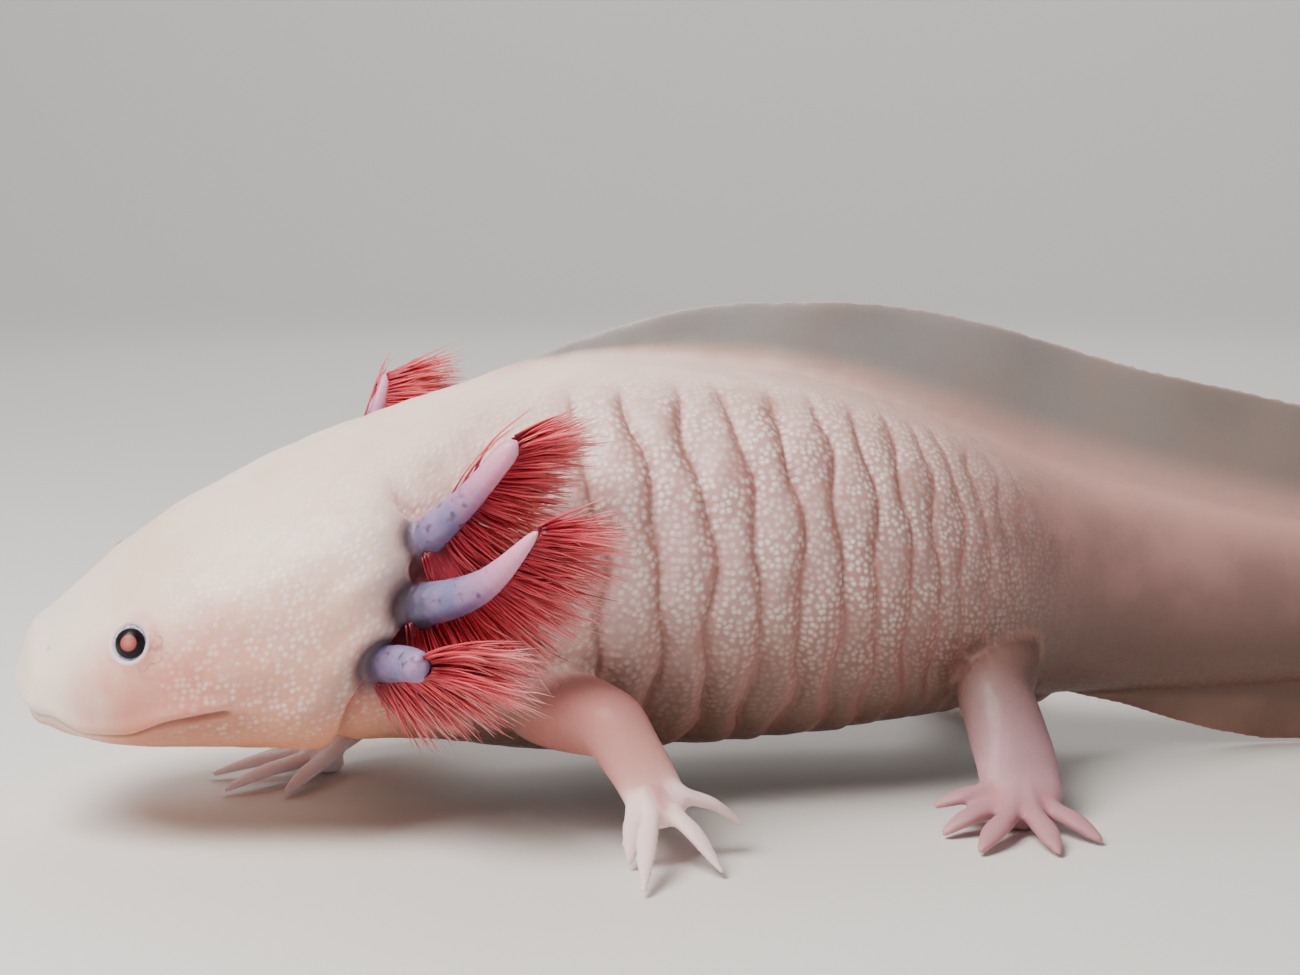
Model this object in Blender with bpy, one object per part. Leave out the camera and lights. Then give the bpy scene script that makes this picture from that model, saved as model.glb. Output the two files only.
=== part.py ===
"""A still, life-size axolotl that stands on its four feet and on the low edge of its tail fin.

+X runs from the snout to the tail, +Y to the animal's right side, +Z up, and Z 0 is the floor.
Measures are in millimetres and become metres where a mesh is made. The body is one long loft of
rounded sections parted by thin gaps; limbs, gills and fins are lofts of their own, cut to the body.
"""

from math import cos, pi, radians, sin

import bmesh
import bpy
import numpy as np
from mathutils import Matrix, Vector

MM = 0.001
GAP = 0.3  # between two solids that touch in life
SKIN_CLEARANCE = 0.36  # a little over the gap, because flat facets cut the corners of a curve
STALK_CLEARANCE = 0.42

SNOUT_X = -84.0
HEAD_END = -41.0  # rear edge of the gill covers
NECK_END = -30.0
TRUNK_END = 44.0
TAIL_BASE_END = 78.0
TAIL_MIDDLE_END = 112.0
TAIL_END = 154.0  # tip of the tail's muscle
FIN_END = 157.0

# Sections of the body without its fins, from snout to tail: place along the body, sideways place of
# the axis, height of the axis, half width, height above the axis, depth below it, roundness (2 is
# an ellipse, more is squarer) and roll towards the animal's left, in degrees.
STATIONS = {
    "snout tip": (-84.0, -1.0, 18.0, 0.0, 0.0, 0.0, 2.2, 12),
    "lip": (-83.0, -1.0, 18.0, 6.6, 3.6, 3.3, 2.2, 12),
    "nostrils": (-80.0, -1.0, 18.2, 11.2, 6.4, 4.9, 2.3, 12),
    "muzzle": (-75.0, -1.0, 18.8, 15.2, 9.8, 6.6, 2.4, 12),
    "eyes": (-68.0, -1.0, 20.0, 18.4, 14.2, 8.1, 2.4, 12),
    "mouth corners": (-60.0, -1.0, 21.5, 21.0, 17.6, 9.8, 2.3, 12),
    "cheeks": (-50.0, -0.6, 23.5, 23.2, 20.4, 12.5, 2.2, 11),
    "gill covers": (-42.0, -0.3, 25.0, 23.0, 22.2, 15.4, 2.15, 9),
    "gills": (-35.0, 0.0, 26.3, 20.5, 23.4, 18.6, 2.1, 6),
    "shoulders": (-27.0, 0.0, 28.0, 20.0, 23.8, 22.0, 2.1, 3),
    "chest": (-12.0, 0.0, 30.0, 22.5, 24.0, 25.0, 2.1, 0),
    "belly": (5.0, 0.0, 29.5, 23.5, 23.6, 24.2, 2.1, 0),
    "flank": (20.0, 0.0, 28.0, 22.5, 21.6, 21.8, 2.1, 0),
    "hips": (33.0, 0.0, 26.2, 19.0, 18.6, 19.0, 2.1, 0),
    "vent": (44.0, 0.0, 24.8, 14.5, 15.6, 16.6, 2.0, 0),
    "tail root": (55.0, -1.0, 23.4, 11.0, 13.4, 15.0, 2.0, 0),
    "tail bend out": (70.0, -3.0, 21.4, 8.6, 11.6, 13.0, 2.0, 0),
    "tail bend": (85.0, -3.5, 19.6, 7.0, 10.2, 11.2, 2.0, 0),
    "tail bend in": (105.0, -1.0, 17.6, 5.2, 8.0, 8.8, 2.0, 0),
    "thin tail": (125.0, 4.0, 16.2, 3.6, 5.6, 6.2, 2.0, 0),
    "tail tip": (154.0, 13.0, 15.0, 0.9, 1.3, 1.5, 2.0, 0),
}
# Height of a fin's free edge above the floor along the body.
UPPER_FIN_EDGE = {-37: 46.6, -30: 51.2, -22: 54.4, -14: 57.2, -2: 60.2, 8: 60.9, 20: 60.8, 30: 59.6,
                  60: 51.6, 90: 44.5, 120: 34.8, 135: 28.6, 147: 22.4, 155: 17.4, 157: 15.8}
LOWER_FIN_EDGE = {48: 8.6, 58: 6.0, 66: 3.4, 74: 1.2, 82: 0.0, 98: 0.0, 112: 1.0, 125: 3.2,
                  138: 6.2, 148: 9.4, 155: 12.8, 157: 14.2}
UNDER_FIN_START = 51.0
FIN_ROOT_HALF = 2.2  # half thickness where the fin leaves the back
FIN_EDGE_HALF = 0.4
FIN_SUNK = 2.5  # how deep the fin starts in the back before it is cut to the skin
FIN_LEAST = 0.6  # least height of a fin above its root

GROOVES = 12  # costal grooves on the flank
FIRST_GROOVE_X = -17.5
FIRST_FOLD = 6.6  # width of the first fold between two grooves; each next one is narrower
FOLD_SHRINK = 0.93
GROOVE_DEPTH = 0.7

COVER_FLARE = 0.05  # how much the gill covers stand out at the head's rear edge
EYE_RADIUS = 2.3
EYE_X = -71.0
EYE_ANGLE = 36.0  # above the head's widest line, in degrees
EYE_SUNK = 1.35  # from the skin to the eyeball's centre

# Mouth line on the head's own axes: place along the body and height above the axis.
MOUTH_LINE = {-90: -0.8, -80: -1.0, -76: -2.6, -72: -2.6, -67: -1.0, -61: -0.4}
JAW_HINGE_X = -58.0
JAW_HINGE_UP = -2.4  # where the parting turns down behind the mouth's corner

SKIN = (0.86, 0.69, 0.62)
FIN = (0.66, 0.58, 0.55)
LIMB = (0.88, 0.68, 0.66)
STALK = (0.72, 0.68, 0.78)
FILAMENT = (0.78, 0.10, 0.13)
EYE = (0.10, 0.03, 0.04)


# ---------------------------------------------------------------- curves and sections
def smooth(xs, ys, x):
    """A cubic curve through the points that never swings past them."""
    xs, ys, x = (np.asarray(v, float) for v in (xs, ys, x))
    step = np.diff(xs)
    slope = np.diff(ys) / step
    tangent = np.empty_like(ys)
    tangent[0], tangent[-1] = slope[0], slope[-1]
    before, after = slope[:-1], slope[1:]
    mean = (step[1:] * before + step[:-1] * after) / (step[1:] + step[:-1])
    most = 3 * np.minimum(abs(before), abs(after))
    tangent[1:-1] = np.where(before * after > 0, np.sign(mean) * np.minimum(abs(mean), most), 0)
    i = np.clip(np.searchsorted(xs, x) - 1, 0, len(step) - 1)
    t = np.clip((x - xs[i]) / step[i], 0, 1)
    start = (2 * t**3 - 3 * t**2 + 1) * ys[i] + (t**3 - 2 * t**2 + t) * step[i] * tangent[i]
    end = (3 * t**2 - 2 * t**3) * ys[i + 1] + (t**3 - t**2) * step[i] * tangent[i + 1]
    return start + end


def measures(x):
    """The body's axis, half width, heights, roundness and roll at x."""
    table = np.array(list(STATIONS.values()), float)
    return [float(smooth(table[:, 0], table[:, k], x)) for k in range(1, 8)]


def edge_height(edge, x):
    return float(smooth(list(edge), list(edge.values()), x))


def body_point(x, angle, grow=0.0, widen=1.0):
    """A point of the skin; angle 0 is the right side, 90 degrees the back, 180 the left side."""
    _, _, half, above, below, power, _ = measures(x)
    c, s = cos(angle), sin(angle)
    across = (half * widen + grow) * np.sign(c) * abs(c) ** (2 / power)
    tall = (above if s > 0 else below) + grow
    up = tall * np.sign(s) * abs(s) ** (2 / power)
    return from_body_axes(x, across, up)


def from_body_axes(x, across, up):
    """World place of a point given on the rolled axes of the section at x."""
    y, z, *_, roll = measures(x)
    turn = radians(roll)
    return (x, y + across * cos(turn) - up * sin(turn), z + across * sin(turn) + up * cos(turn))


def depth_share(point):
    """Below 1 inside the body, 1 on the skin, above 1 outside."""
    y, z, half, above, below, power, roll = measures(point[0])
    turn = radians(roll)
    across = (point[1] - y) * cos(turn) + (point[2] - z) * sin(turn)
    up = -(point[1] - y) * sin(turn) + (point[2] - z) * cos(turn)
    return (abs(across) / half) ** power + (abs(up) / (above if up > 0 else below)) ** power


def mirrored(point):
    """The point's twin on the other side of the rolled middle plane of the head's rear."""
    y, z, *_, roll = measures(HEAD_END)
    turn = radians(roll)
    across = (point[1] - y) * cos(turn) + (point[2] - z) * sin(turn)
    up = -(point[1] - y) * sin(turn) + (point[2] - z) * cos(turn)
    return (point[0], y - across * cos(turn) - up * sin(turn), z - across * sin(turn) + up * cos(turn))


def body_ring(x, sides=24, grow=0.0, widen=1.0):
    return [body_point(x, 2 * pi * k / sides, grow, widen) for k in range(sides)]


def path_points(points, count):
    """Evenly spaced points on a smooth curve through the given ones, and where they lie, 0 to 1."""
    points = np.array(points, float)
    along = np.concatenate([[0], np.cumsum(np.linalg.norm(np.diff(points, axis=0), axis=1))])
    along /= along[-1]
    places = np.linspace(0, 1, count)
    return np.stack([smooth(along, points[:, k], places) for k in range(3)], 1), along, places


def tube_rings(points, half_widths, half_heights, across, count, sides, grow=0.0):
    """Elliptical rings along a path; across is the direction of their wider axis."""
    centres, along, places = path_points(points, count)
    tangents = np.gradient(centres, axis=0)
    rings = []
    for centre, tangent, place in zip(centres, tangents, places):
        tangent = tangent / np.linalg.norm(tangent)
        side = np.array(across, float)
        side -= tangent * side.dot(tangent)
        side /= np.linalg.norm(side)
        up = np.cross(side, tangent)
        wide = float(smooth(along, half_widths, place)) + grow
        tall = float(smooth(along, half_heights, place)) + grow
        turns = [2 * pi * k / sides for k in range(sides)]
        rings.append([centre + side * wide * cos(a) + up * tall * sin(a) for a in turns])
    return rings


# ---------------------------------------------------------------- objects
def material(name, colour, roughness=0.45):
    made = bpy.data.materials.get(name) or bpy.data.materials.new(name)
    made.use_nodes = True
    shader = made.node_tree.nodes["Principled BSDF"]
    shader.inputs["Base Color"].default_value = (*colour, 1)
    shader.inputs["Roughness"].default_value = roughness
    shader.inputs["Metallic"].default_value = 0.0
    return made


def collection(name):
    made = bpy.data.collections.new(name)
    bpy.context.scene.collection.children.link(made)
    return made


def add_object(name, mesh, group):
    made = bpy.data.objects.new(name, mesh)
    group.objects.link(made)
    return made


def add_loft(name, rings, group):
    """One closed body through the rings, with flat ends."""
    shape = bmesh.new()
    rows = [[shape.verts.new(Vector(p) * MM) for p in ring] for ring in rings]
    for row, after in zip(rows, rows[1:]):
        for k in range(len(row)):
            n = (k + 1) % len(row)
            shape.faces.new((row[k], row[n], after[n], after[k]))
    shape.faces.new(rows[0])
    shape.faces.new(rows[-1])
    bmesh.ops.recalc_face_normals(shape, faces=shape.faces)
    mesh = bpy.data.meshes.new(name)
    shape.to_mesh(mesh)
    shape.free()
    return add_object(name, mesh, group)


def add_box(name, centre, sizes, group, turn=Matrix()):
    shape = bmesh.new()
    bmesh.ops.create_cube(shape, size=1.0)
    bmesh.ops.scale(shape, vec=Vector(sizes) * MM, verts=shape.verts)
    bmesh.ops.transform(shape, matrix=Matrix.Translation(Vector(centre) * MM) @ turn, verts=shape.verts)
    mesh = bpy.data.meshes.new(name)
    shape.to_mesh(mesh)
    shape.free()
    return add_object(name, mesh, group)


def add_ball(name, centre, radii, group, rings=7, segments=10):
    shape = bmesh.new()
    bmesh.ops.create_uvsphere(shape, u_segments=segments, v_segments=rings, radius=MM)
    bmesh.ops.scale(shape, vec=radii, verts=shape.verts)
    bmesh.ops.translate(shape, vec=Vector(centre) * MM, verts=shape.verts)
    mesh = bpy.data.meshes.new(name)
    shape.to_mesh(mesh)
    shape.free()
    return add_object(name, mesh, group)


def boolean(target, other, operation, solver="EXACT"):
    step = target.modifiers.new(f"{operation.lower()} {other.name}", "BOOLEAN")
    step.operation = operation
    step.solver = solver
    step.object = other


def settle(target):
    """Makes the object's modifiers part of its mesh, so that it can be copied and cut again."""
    graph = bpy.context.evaluated_depsgraph_get()
    mesh = bpy.data.meshes.new_from_object(target.evaluated_get(graph))
    target.modifiers.clear()
    target.data = mesh


def finish(target, look):
    target.data.materials.clear()
    target.data.materials.append(look)
    target.data.shade_smooth()
    target.data.set_sharp_from_angle(angle=radians(40))


# ---------------------------------------------------------------- body
def fold_places():
    """Where the costal grooves cross the flank, and the crests between them."""
    places, width = [FIRST_GROOVE_X], FIRST_FOLD
    for _ in range(GROOVES - 1):
        places.append(places[-1] + width)
        width *= FOLD_SHRINK
    return places, [(a + b) / 2 for a, b in zip(places, places[1:])]


def trunk_rings():
    """Rings of the trunk, drawn in at each costal groove from the flank down to the belly."""
    grooves, crests = fold_places()
    plain = [NECK_END + GAP / 2, -25, -21.5, (grooves[-1] + TRUNK_END) / 2, TRUNK_END - GAP / 2]
    rings = []
    for x in sorted(grooves + crests + plain):
        y, z, *_ = measures(x)
        ring = np.array(body_ring(x))
        if x in grooves:
            lateral = abs(ring[:, 1] - y) / abs(ring[:, 1] - y).max()
            ring[:, 1] -= np.sign(ring[:, 1] - y) * GROOVE_DEPTH * lateral
        rings.append(ring)
    return rings


def head_flare(x):
    return 1 + COVER_FLARE * float(np.clip((x + 50) / 9, 0, 1)) ** 2


def add_body(parts, cutters):
    """Head, neck, trunk and three lengths of tail, and a grown body that cuts the other parts."""
    head_x = [SNOUT_X + 0.15, -83.6, -82.6, -80.6, -77.6, -74, -69.5, -64.5, -59.5, -53.5, -47,
              HEAD_END - GAP / 2]
    head = add_loft("head", [body_ring(x, widen=head_flare(x)) for x in head_x], parts)
    neck_x = np.linspace(HEAD_END + GAP / 2, NECK_END - GAP / 2, 4)
    add_loft("neck", [body_ring(x) for x in neck_x], parts)
    add_loft("trunk", trunk_rings(), parts)
    lengths = (("tail_base", TRUNK_END, TAIL_BASE_END, 7), ("tail_middle", TAIL_BASE_END,
               TAIL_MIDDLE_END, 6), ("tail_tip", TAIL_MIDDLE_END, TAIL_END, 7))
    for name, start, end, count in lengths:
        places = np.linspace(start + GAP / 2, end - GAP / 2, count)
        add_loft(name, [body_ring(x, sides=16) for x in places], parts)

    clear = [body_ring(x, grow=SKIN_CLEARANCE, widen=head_flare(x)) for x in head_x[2:-1]]
    clear.append(body_ring(HEAD_END + GAP / 2, grow=SKIN_CLEARANCE, widen=head_flare(HEAD_END)))
    trunk_x, tail_x = np.arange(HEAD_END + GAP, TRUNK_END, 3.0), np.arange(TRUNK_END, TAIL_END, 6.0)
    clear += [body_ring(x, grow=SKIN_CLEARANCE) for x in [*trunk_x, *tail_x, TAIL_END + GAP]]
    return head, add_loft("body_clearance", clear, cutters)


def part_jaw(head, parts, cutters):
    """Parts the lower jaw from the head along the mouth line, which rises a little at the corner."""
    def jaw_block(name, grow):
        front, reach = SNOUT_X - 3, 30
        hinge = JAW_HINGE_X + grow
        lip = [(x, edge_height(MOUTH_LINE, x) + grow) for x in np.linspace(front, JAW_HINGE_X - 2, 9)]
        outline = [*lip, (hinge, JAW_HINGE_UP), (hinge, -reach), (front, -reach)]
        rings = [[from_body_axes(x, across, up) for x, up in outline] for across in (-reach, reach)]
        return add_loft(name, rings, cutters)

    lower = add_object("lower_jaw", head.data.copy(), parts)
    boolean(lower, jaw_block("jaw_inner", 0), "INTERSECT")
    boolean(head, jaw_block("jaw_outer", GAP), "DIFFERENCE")


def add_eyes(head, parts, cutters):
    for side, angle in (("right", EYE_ANGLE), ("left", 180 - EYE_ANGLE)):
        skin = np.array(body_point(EYE_X, radians(angle)))
        y, z, *_ = measures(EYE_X)
        inward = np.array([6.0, y - skin[1], z - skin[2]])
        centre = skin + inward / np.linalg.norm(inward) * EYE_SUNK
        add_ball(f"eye_{side}", centre, [EYE_RADIUS] * 3, parts)
        socket = add_ball(f"socket_{side}", centre, [EYE_RADIUS + GAP] * 3, cutters)
        boolean(head, socket, "DIFFERENCE")


# ---------------------------------------------------------------- fins
def fin_rings(places, root_height, edge_height_at, inner_sign):
    """Wedge sections from inside the body out to the fin's thin, rounded edge."""
    levels = ((0.0, 1.0), (0.3, 0.6), (0.92, 0.2), (1.0, 0.1))
    rings = []
    for x in places:
        y = measures(x)[0]
        root, edge = root_height(x), edge_height_at(x)
        edge = inner_sign * max(inner_sign * edge, inner_sign * root + FIN_LEAST)
        taper = float(np.clip((FIN_END - x) / 60, 0.25, 1))
        halves = [FIN_EDGE_HALF + (FIN_ROOT_HALF * taper - FIN_EDGE_HALF) * wide for _, wide in levels]
        heights = [root + (edge - root) * up for up, _ in levels]
        right = [(x, y + half, z) for half, z in zip(halves, heights)]
        left = [(x, y - half, z) for half, z in zip(halves, heights)]
        rings.append(right + left[::-1])
    return rings


def add_fins(parts):
    """The fin on the back and tail, and the fin under the tail, whose low edge lies on the floor."""
    def back_root(x):
        _, z, _, above, *_ = measures(min(x, TAIL_END))
        return z + above - min(FIN_SUNK, above - GAP / 2)

    def under_root(x):
        _, z, _, _, below, *_ = measures(min(x, TAIL_END))
        return z - below + min(FIN_SUNK, below - GAP / 2)

    upper = (("dorsal_fin", -36.5, TRUNK_END - GAP / 2, 18), ("tail_fin_upper", TRUNK_END + GAP / 2,
             FIN_END, 16))
    for name, start, end, count in upper:
        places = np.linspace(start, end, count)
        rings = fin_rings(places, back_root, lambda x: edge_height(UPPER_FIN_EDGE, x), 1)
        yield add_loft(name, rings, parts)
    places = np.linspace(UNDER_FIN_START, FIN_END, 15)
    rings = fin_rings(places, under_root, lambda x: edge_height(LOWER_FIN_EDGE, x), -1)
    yield add_loft("tail_fin_lower", rings, parts)


# ---------------------------------------------------------------- limbs
PAD_SHARE = 0.75  # width of the pad under the palm against the palm
PAD_BACK = 1.8  # from the knuckles towards the wrist
PAD_HALF = 1.7
PAD_HEIGHT = 1.1  # of the pad's middle; what is below the floor is cut flat
# Each limb: its path from inside the body to the knuckles, half widths and half thicknesses there,
# the direction across the hand, where elbow and wrist part it (0 to 1 along the path), the names of
# its pieces, and its digits as (root, tip, rise of the middle).
LIMBS = {
    "left_arm": {
        "path": [(-26, -8, 18), (-22.8, -17, 14.6), (-18.1, -26.5, 14.2), (-15.4, -31.5, 9.4),
                 (-13.7, -35, 5.0), (-13.0, -38.2, 1.8)],
        "wide": [6.0, 5.2, 4.3, 4.3, 5.0, 4.6], "thick": [6.0, 5.2, 4.2, 3.7, 2.7, 2.0],
        "across": (1, -0.25, 0), "joints": (0.52, 0.80), "names": ("upper_arm", "forearm", "hand"),
        "digits": [((-10.8, -35, 4.2), (-4.0, -33.5, 3.2), 1.4),
                   ((-12.2, -37.5, 2.4), (-8.8, -42.6, 0.3), 0.5),
                   ((-15.2, -38, 2.2), (-19, -47, 0.3), 0.6),
                   ((-17.0, -35.6, 2.2), (-20.6, -38.8, 0.3), 0.5)],
        "digit": 1.25,
    },
    "right_arm": {
        "path": [(-27, 8, 19), (-28, 17, 16), (-33, 23, 12), (-39, 19.5, 8), (-43.5, 15.5, 4.4),
                 (-48.5, 11.5, 1.8)],
        "wide": [6.0, 5.2, 4.0, 3.7, 4.0, 4.2], "thick": [6.0, 5.2, 4.0, 3.5, 2.7, 2.0],
        "across": (0.5, 1, 0), "joints": (0.50, 0.80), "names": ("upper_arm", "forearm", "hand"),
        "digits": [((-48, 15.0, 2.0), (-55.5, 20.5, 0.3), 0.5), ((-50.5, 12.8, 2.0), (-61.5, 12.6, 0.3), 0.7),
                   ((-50, 10, 2.0), (-60.4, 4.4, 0.3), 0.7), ((-47, 9.0, 2.2), (-53, 1.6, 0.3), 0.5)],
        "digit": 1.25,
    },
    "left_leg": {
        "path": [(38, -6, 20), (35.6, -14, 15.6), (31.8, -21.5, 12.6), (31.8, -26.5, 8.0),
                 (31.3, -30.5, 4.4), (30.1, -34.5, 1.8)],
        "wide": [7.0, 5.8, 5.0, 5.3, 6.0, 6.2], "thick": [7.0, 5.8, 4.8, 4.2, 3.1, 2.1],
        "across": (1, 0, 0.05), "joints": (0.50, 0.80), "names": ("thigh", "shank", "foot"),
        "digits": [((26.6, -30.5, 3.6), (20.2, -30, 2.6), 0.6), ((26.4, -32.6, 2.2), (19.6, -34.4, 0.3), 0.7),
                   ((27.6, -35.4, 2.0), (21.2, -42, 0.3), 0.6), ((30.6, -36, 2.0), (30.0, -44.6, 0.3), 0.6),
                   ((33.4, -34, 2.2), (36.8, -41.6, 0.3), 0.6)],
        "digit": 1.3,
    },
    "right_leg": {
        "path": [(38, 6, 20), (39.5, 14, 15.6), (45, 21.5, 12.6), (46.4, 26, 8.0), (45.8, 29.5, 4.4),
                 (44.6, 33.5, 1.8)],
        "wide": [7.0, 5.8, 5.0, 5.0, 5.6, 6.0], "thick": [7.0, 5.8, 4.8, 4.2, 3.1, 2.1],
        "across": (-1, 0, 0.05), "joints": (0.50, 0.80), "names": ("thigh", "shank", "foot"),
        "digits": [((41.4, 30.0, 2.6), (34.8, 31.8, 0.5), 0.7), ((41.0, 32.6, 2.2), (34.4, 37.6, 0.3), 0.7),
                   ((43.2, 35.2, 2.0), (39.2, 43.6, 0.3), 0.6), ((46.2, 35, 2.0), (47.4, 43.8, 0.3), 0.6),
                   ((48.4, 32.6, 2.2), (54.0, 38.6, 0.3), 0.6)],
        "digit": 1.3,
    },
}


def digit_rings(root, tip, rise, radius):
    """A finger or toe: widest before the middle, with a narrow rounded tip."""
    root, tip = np.array(root, float), np.array(tip, float)
    middle = (root + tip) / 2 + np.array([0, 0, rise])
    start = root - (tip - root) * 0.2
    sizes = [radius * 1.05, radius * 1.1, radius, radius * 0.35]
    return tube_rings([start, root, middle, tip], sizes, sizes, np.cross(tip - root, (0, 0, 1)), 6, 6)


def cut_box(limb, place, forward):
    """A block that covers one side of the plane across the limb, and half the gap beyond it."""
    centres, _, places = path_points(limb["path"], 41)
    i = int(round(place * 40))
    tangent = Vector(centres[i + 1] - centres[i - 1]).normalized()
    size = 40.0
    middle = Vector(centres[i]) + tangent * (size / 2 - GAP / 2) * (1 if forward else -1)
    return middle, (size, size, size), tangent.to_track_quat("Z", "Y").to_matrix().to_4x4()


def add_limb(key, limb, parts, cutters, clearance, floor):
    """Models the limb whole with its digits, flattens its sole, cuts its root and parts it in three."""
    rings = tube_rings(limb["path"], limb["wide"], limb["thick"], limb["across"], 11, 10)
    whole = add_loft(f"{key}_whole", rings, cutters)
    for number, (root, tip, rise) in enumerate(limb["digits"], 1):
        digit = add_loft(f"{key}_digit_{number}", digit_rings(root, tip, rise, limb["digit"]), cutters)
        boolean(whole, digit, "UNION", "MANIFOLD")
    knuckles = Vector((*limb["path"][-1][:2], 0))
    back = (Vector((*limb["path"][-2][:2], 0)) - knuckles).normalized()
    pad_place = knuckles + back * PAD_BACK + Vector((0, 0, PAD_HEIGHT))
    pad_size = (limb["wide"][-1] * PAD_SHARE, limb["wide"][-1] * PAD_SHARE, PAD_HALF)
    pad = add_ball(f"{key}_pad", pad_place, pad_size, cutters, 5, 10)
    boolean(whole, pad, "UNION", "MANIFOLD")
    for cutter in (floor, clearance):
        boolean(whole, cutter, "DIFFERENCE", "MANIFOLD")
    settle(whole)
    side = key.split("_")[0]
    elbow, wrist = limb["joints"]
    keeps = ((elbow, True), (elbow, False, wrist, True), (wrist, False))
    for name, keep in zip(limb["names"], keeps):
        piece = add_object(f"{name}_{side}", whole.data.copy(), parts)
        for number in range(0, len(keep), 2):
            middle, sizes, turn = cut_box(limb, keep[number], keep[number + 1])
            block = add_box(f"{name}_{side}_end_{number}", middle, sizes, cutters, turn)
            boolean(piece, block, "DIFFERENCE", "MANIFOLD")
        yield piece


# ---------------------------------------------------------------- gills
# Each gill of the left side: its stalk's path from inside the head to the tip, the stalk's radii,
# and for its filaments the direction and length at the stalk's root and at its tip. The right
# gills are mirrored, and held further forward: swing moves their tips.
GILLS = {
    1: {"path": [(-43, -12, 27), (-38.6, -17.2, 33.0), (-33.5, -22.3, 39.4), (-28.5, -27, 47.2)],
        "radii": [2.7, 2.4, 1.8, 0.8], "comb": ((0.75, 0.35, -0.75), (0.9, 0.2, 0.25)), "length": (8, 7.5),
        "swing": (-8, 4.5, -3.5)},
    2: {"path": [(-44, -14, 26), (-39.2, -19.6, 27.6), (-33, -28, 30.7), (-27.4, -34, 38.2)],
        "radii": [2.7, 2.5, 2.1, 0.7], "comb": ((0.75, 0.2, -0.75), (0.9, 0.45, -0.1)), "length": (11, 9.5),
        "swing": (-5, 2, 0)},
    3: {"path": [(-49, -15, 20.8), (-44.8, -21, 21.3), (-42.4, -27, 22.6), (-40.2, -33, 23.3)],
        "radii": [2.5, 2.3, 1.9, 1.2], "comb": ((0.55, 0.1, -0.85), (0.95, 0.15, -0.1)), "length": (8.5, 9),
        "swing": (-2, 0, 0)},
}
FILAMENT_TEETH = 7
FRINGE_START = 1.2  # how far outside the skin the first filaments grow, as a depth share


def stalk_rings(gill, path, grow=0.0):
    return tube_rings(path, gill["radii"], gill["radii"], (0.2, 0.1, 1), 6, 7, grow)


def comb_rings(gill, path, comb):
    """A thin, toothed fan: the outline of the filaments along the rear edge of the stalk."""
    centres, _, places = path_points(path, 60)
    start = next(k for k, centre in enumerate(centres) if depth_share(centre) > FRINGE_START)
    kept = np.linspace(start, 57, 2 * FILAMENT_TEETH + 1).round().astype(int)
    centres, places = centres[kept], places[kept]
    rings = []
    for number, (centre, place) in enumerate(zip(centres, places)):
        share = (place - places[0]) / (places[-1] - places[0])
        along = np.array(comb[0]) * (1 - share) + np.array(comb[1]) * share
        along /= np.linalg.norm(along)
        length = gill["length"][0] * (1 - share) + gill["length"][1] * share
        length *= 1.0 if number % 2 else 0.82
        tangent = np.array(path[-1], float) - np.array(path[1], float)
        normal = np.cross(along, tangent)
        normal /= np.linalg.norm(normal)
        steps = ((0.0, 0.9), (0.45, 0.6), (1.0, 0.3))
        front = [centre + along * length * out + normal * half for out, half in steps]
        back = [centre + along * length * out - normal * half for out, half in steps]
        rings.append(front + back[::-1])
    return rings


def add_gills(parts, cutters, clearance, looks):
    stalk_clear, fringes = [], []
    for side in ("left", "right"):
        for number, gill in GILLS.items():
            path, comb = gill["path"], gill["comb"]
            if side == "right":
                origin = np.array(mirrored((0, 0, 0)))
                comb = [np.array(mirrored(c)) - origin for c in comb]
                swing = np.array(gill["swing"], float)
                path = [np.array(mirrored(p)) + swing * k / (len(path) - 1) for k, p in enumerate(path)]
            stalk = add_loft(f"gill_stalk_{side}_{number}", stalk_rings(gill, path), parts)
            around = stalk_rings(gill, path, grow=STALK_CLEARANCE)
            stalk_clear.append(add_loft(f"gill_clearance_{side}_{number}", around, cutters))
            fringe = add_loft(f"gill_fringe_{side}_{number}", comb_rings(gill, path, comb), parts)
            fringes.append(fringe)
            boolean(stalk, clearance, "DIFFERENCE", "MANIFOLD")
            boolean(fringe, clearance, "DIFFERENCE", "MANIFOLD")
            finish(stalk, looks["stalk"])
            finish(fringe, looks["filament"])
    for fringe in fringes:
        for cutter in stalk_clear:
            if cutter.name.split("_")[2] == fringe.name.split("_")[2]:
                boolean(fringe, cutter, "DIFFERENCE", "MANIFOLD")


# ---------------------------------------------------------------- the whole animal
def centre_on_origin(parts, cutters):
    """Moves parts and cutters so that the middle of the animal's box stands on the world's origin."""
    graph = bpy.context.evaluated_depsgraph_get()
    corners = []
    for part in parts.objects:
        mesh = part.evaluated_get(graph).to_mesh()
        corners += [vertex.co for vertex in mesh.vertices]
    corners = np.array([tuple(c) for c in corners])
    low, high = corners.min(0), corners.max(0)
    anchor = bpy.data.objects.new("axolotl_middle", None)
    parts.objects.link(anchor)
    anchor.location = (-(low[0] + high[0]) / 2, -(low[1] + high[1]) / 2, 0)
    for piece in [*parts.objects, *cutters.objects]:
        if piece is not anchor:
            piece.parent = anchor


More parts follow.
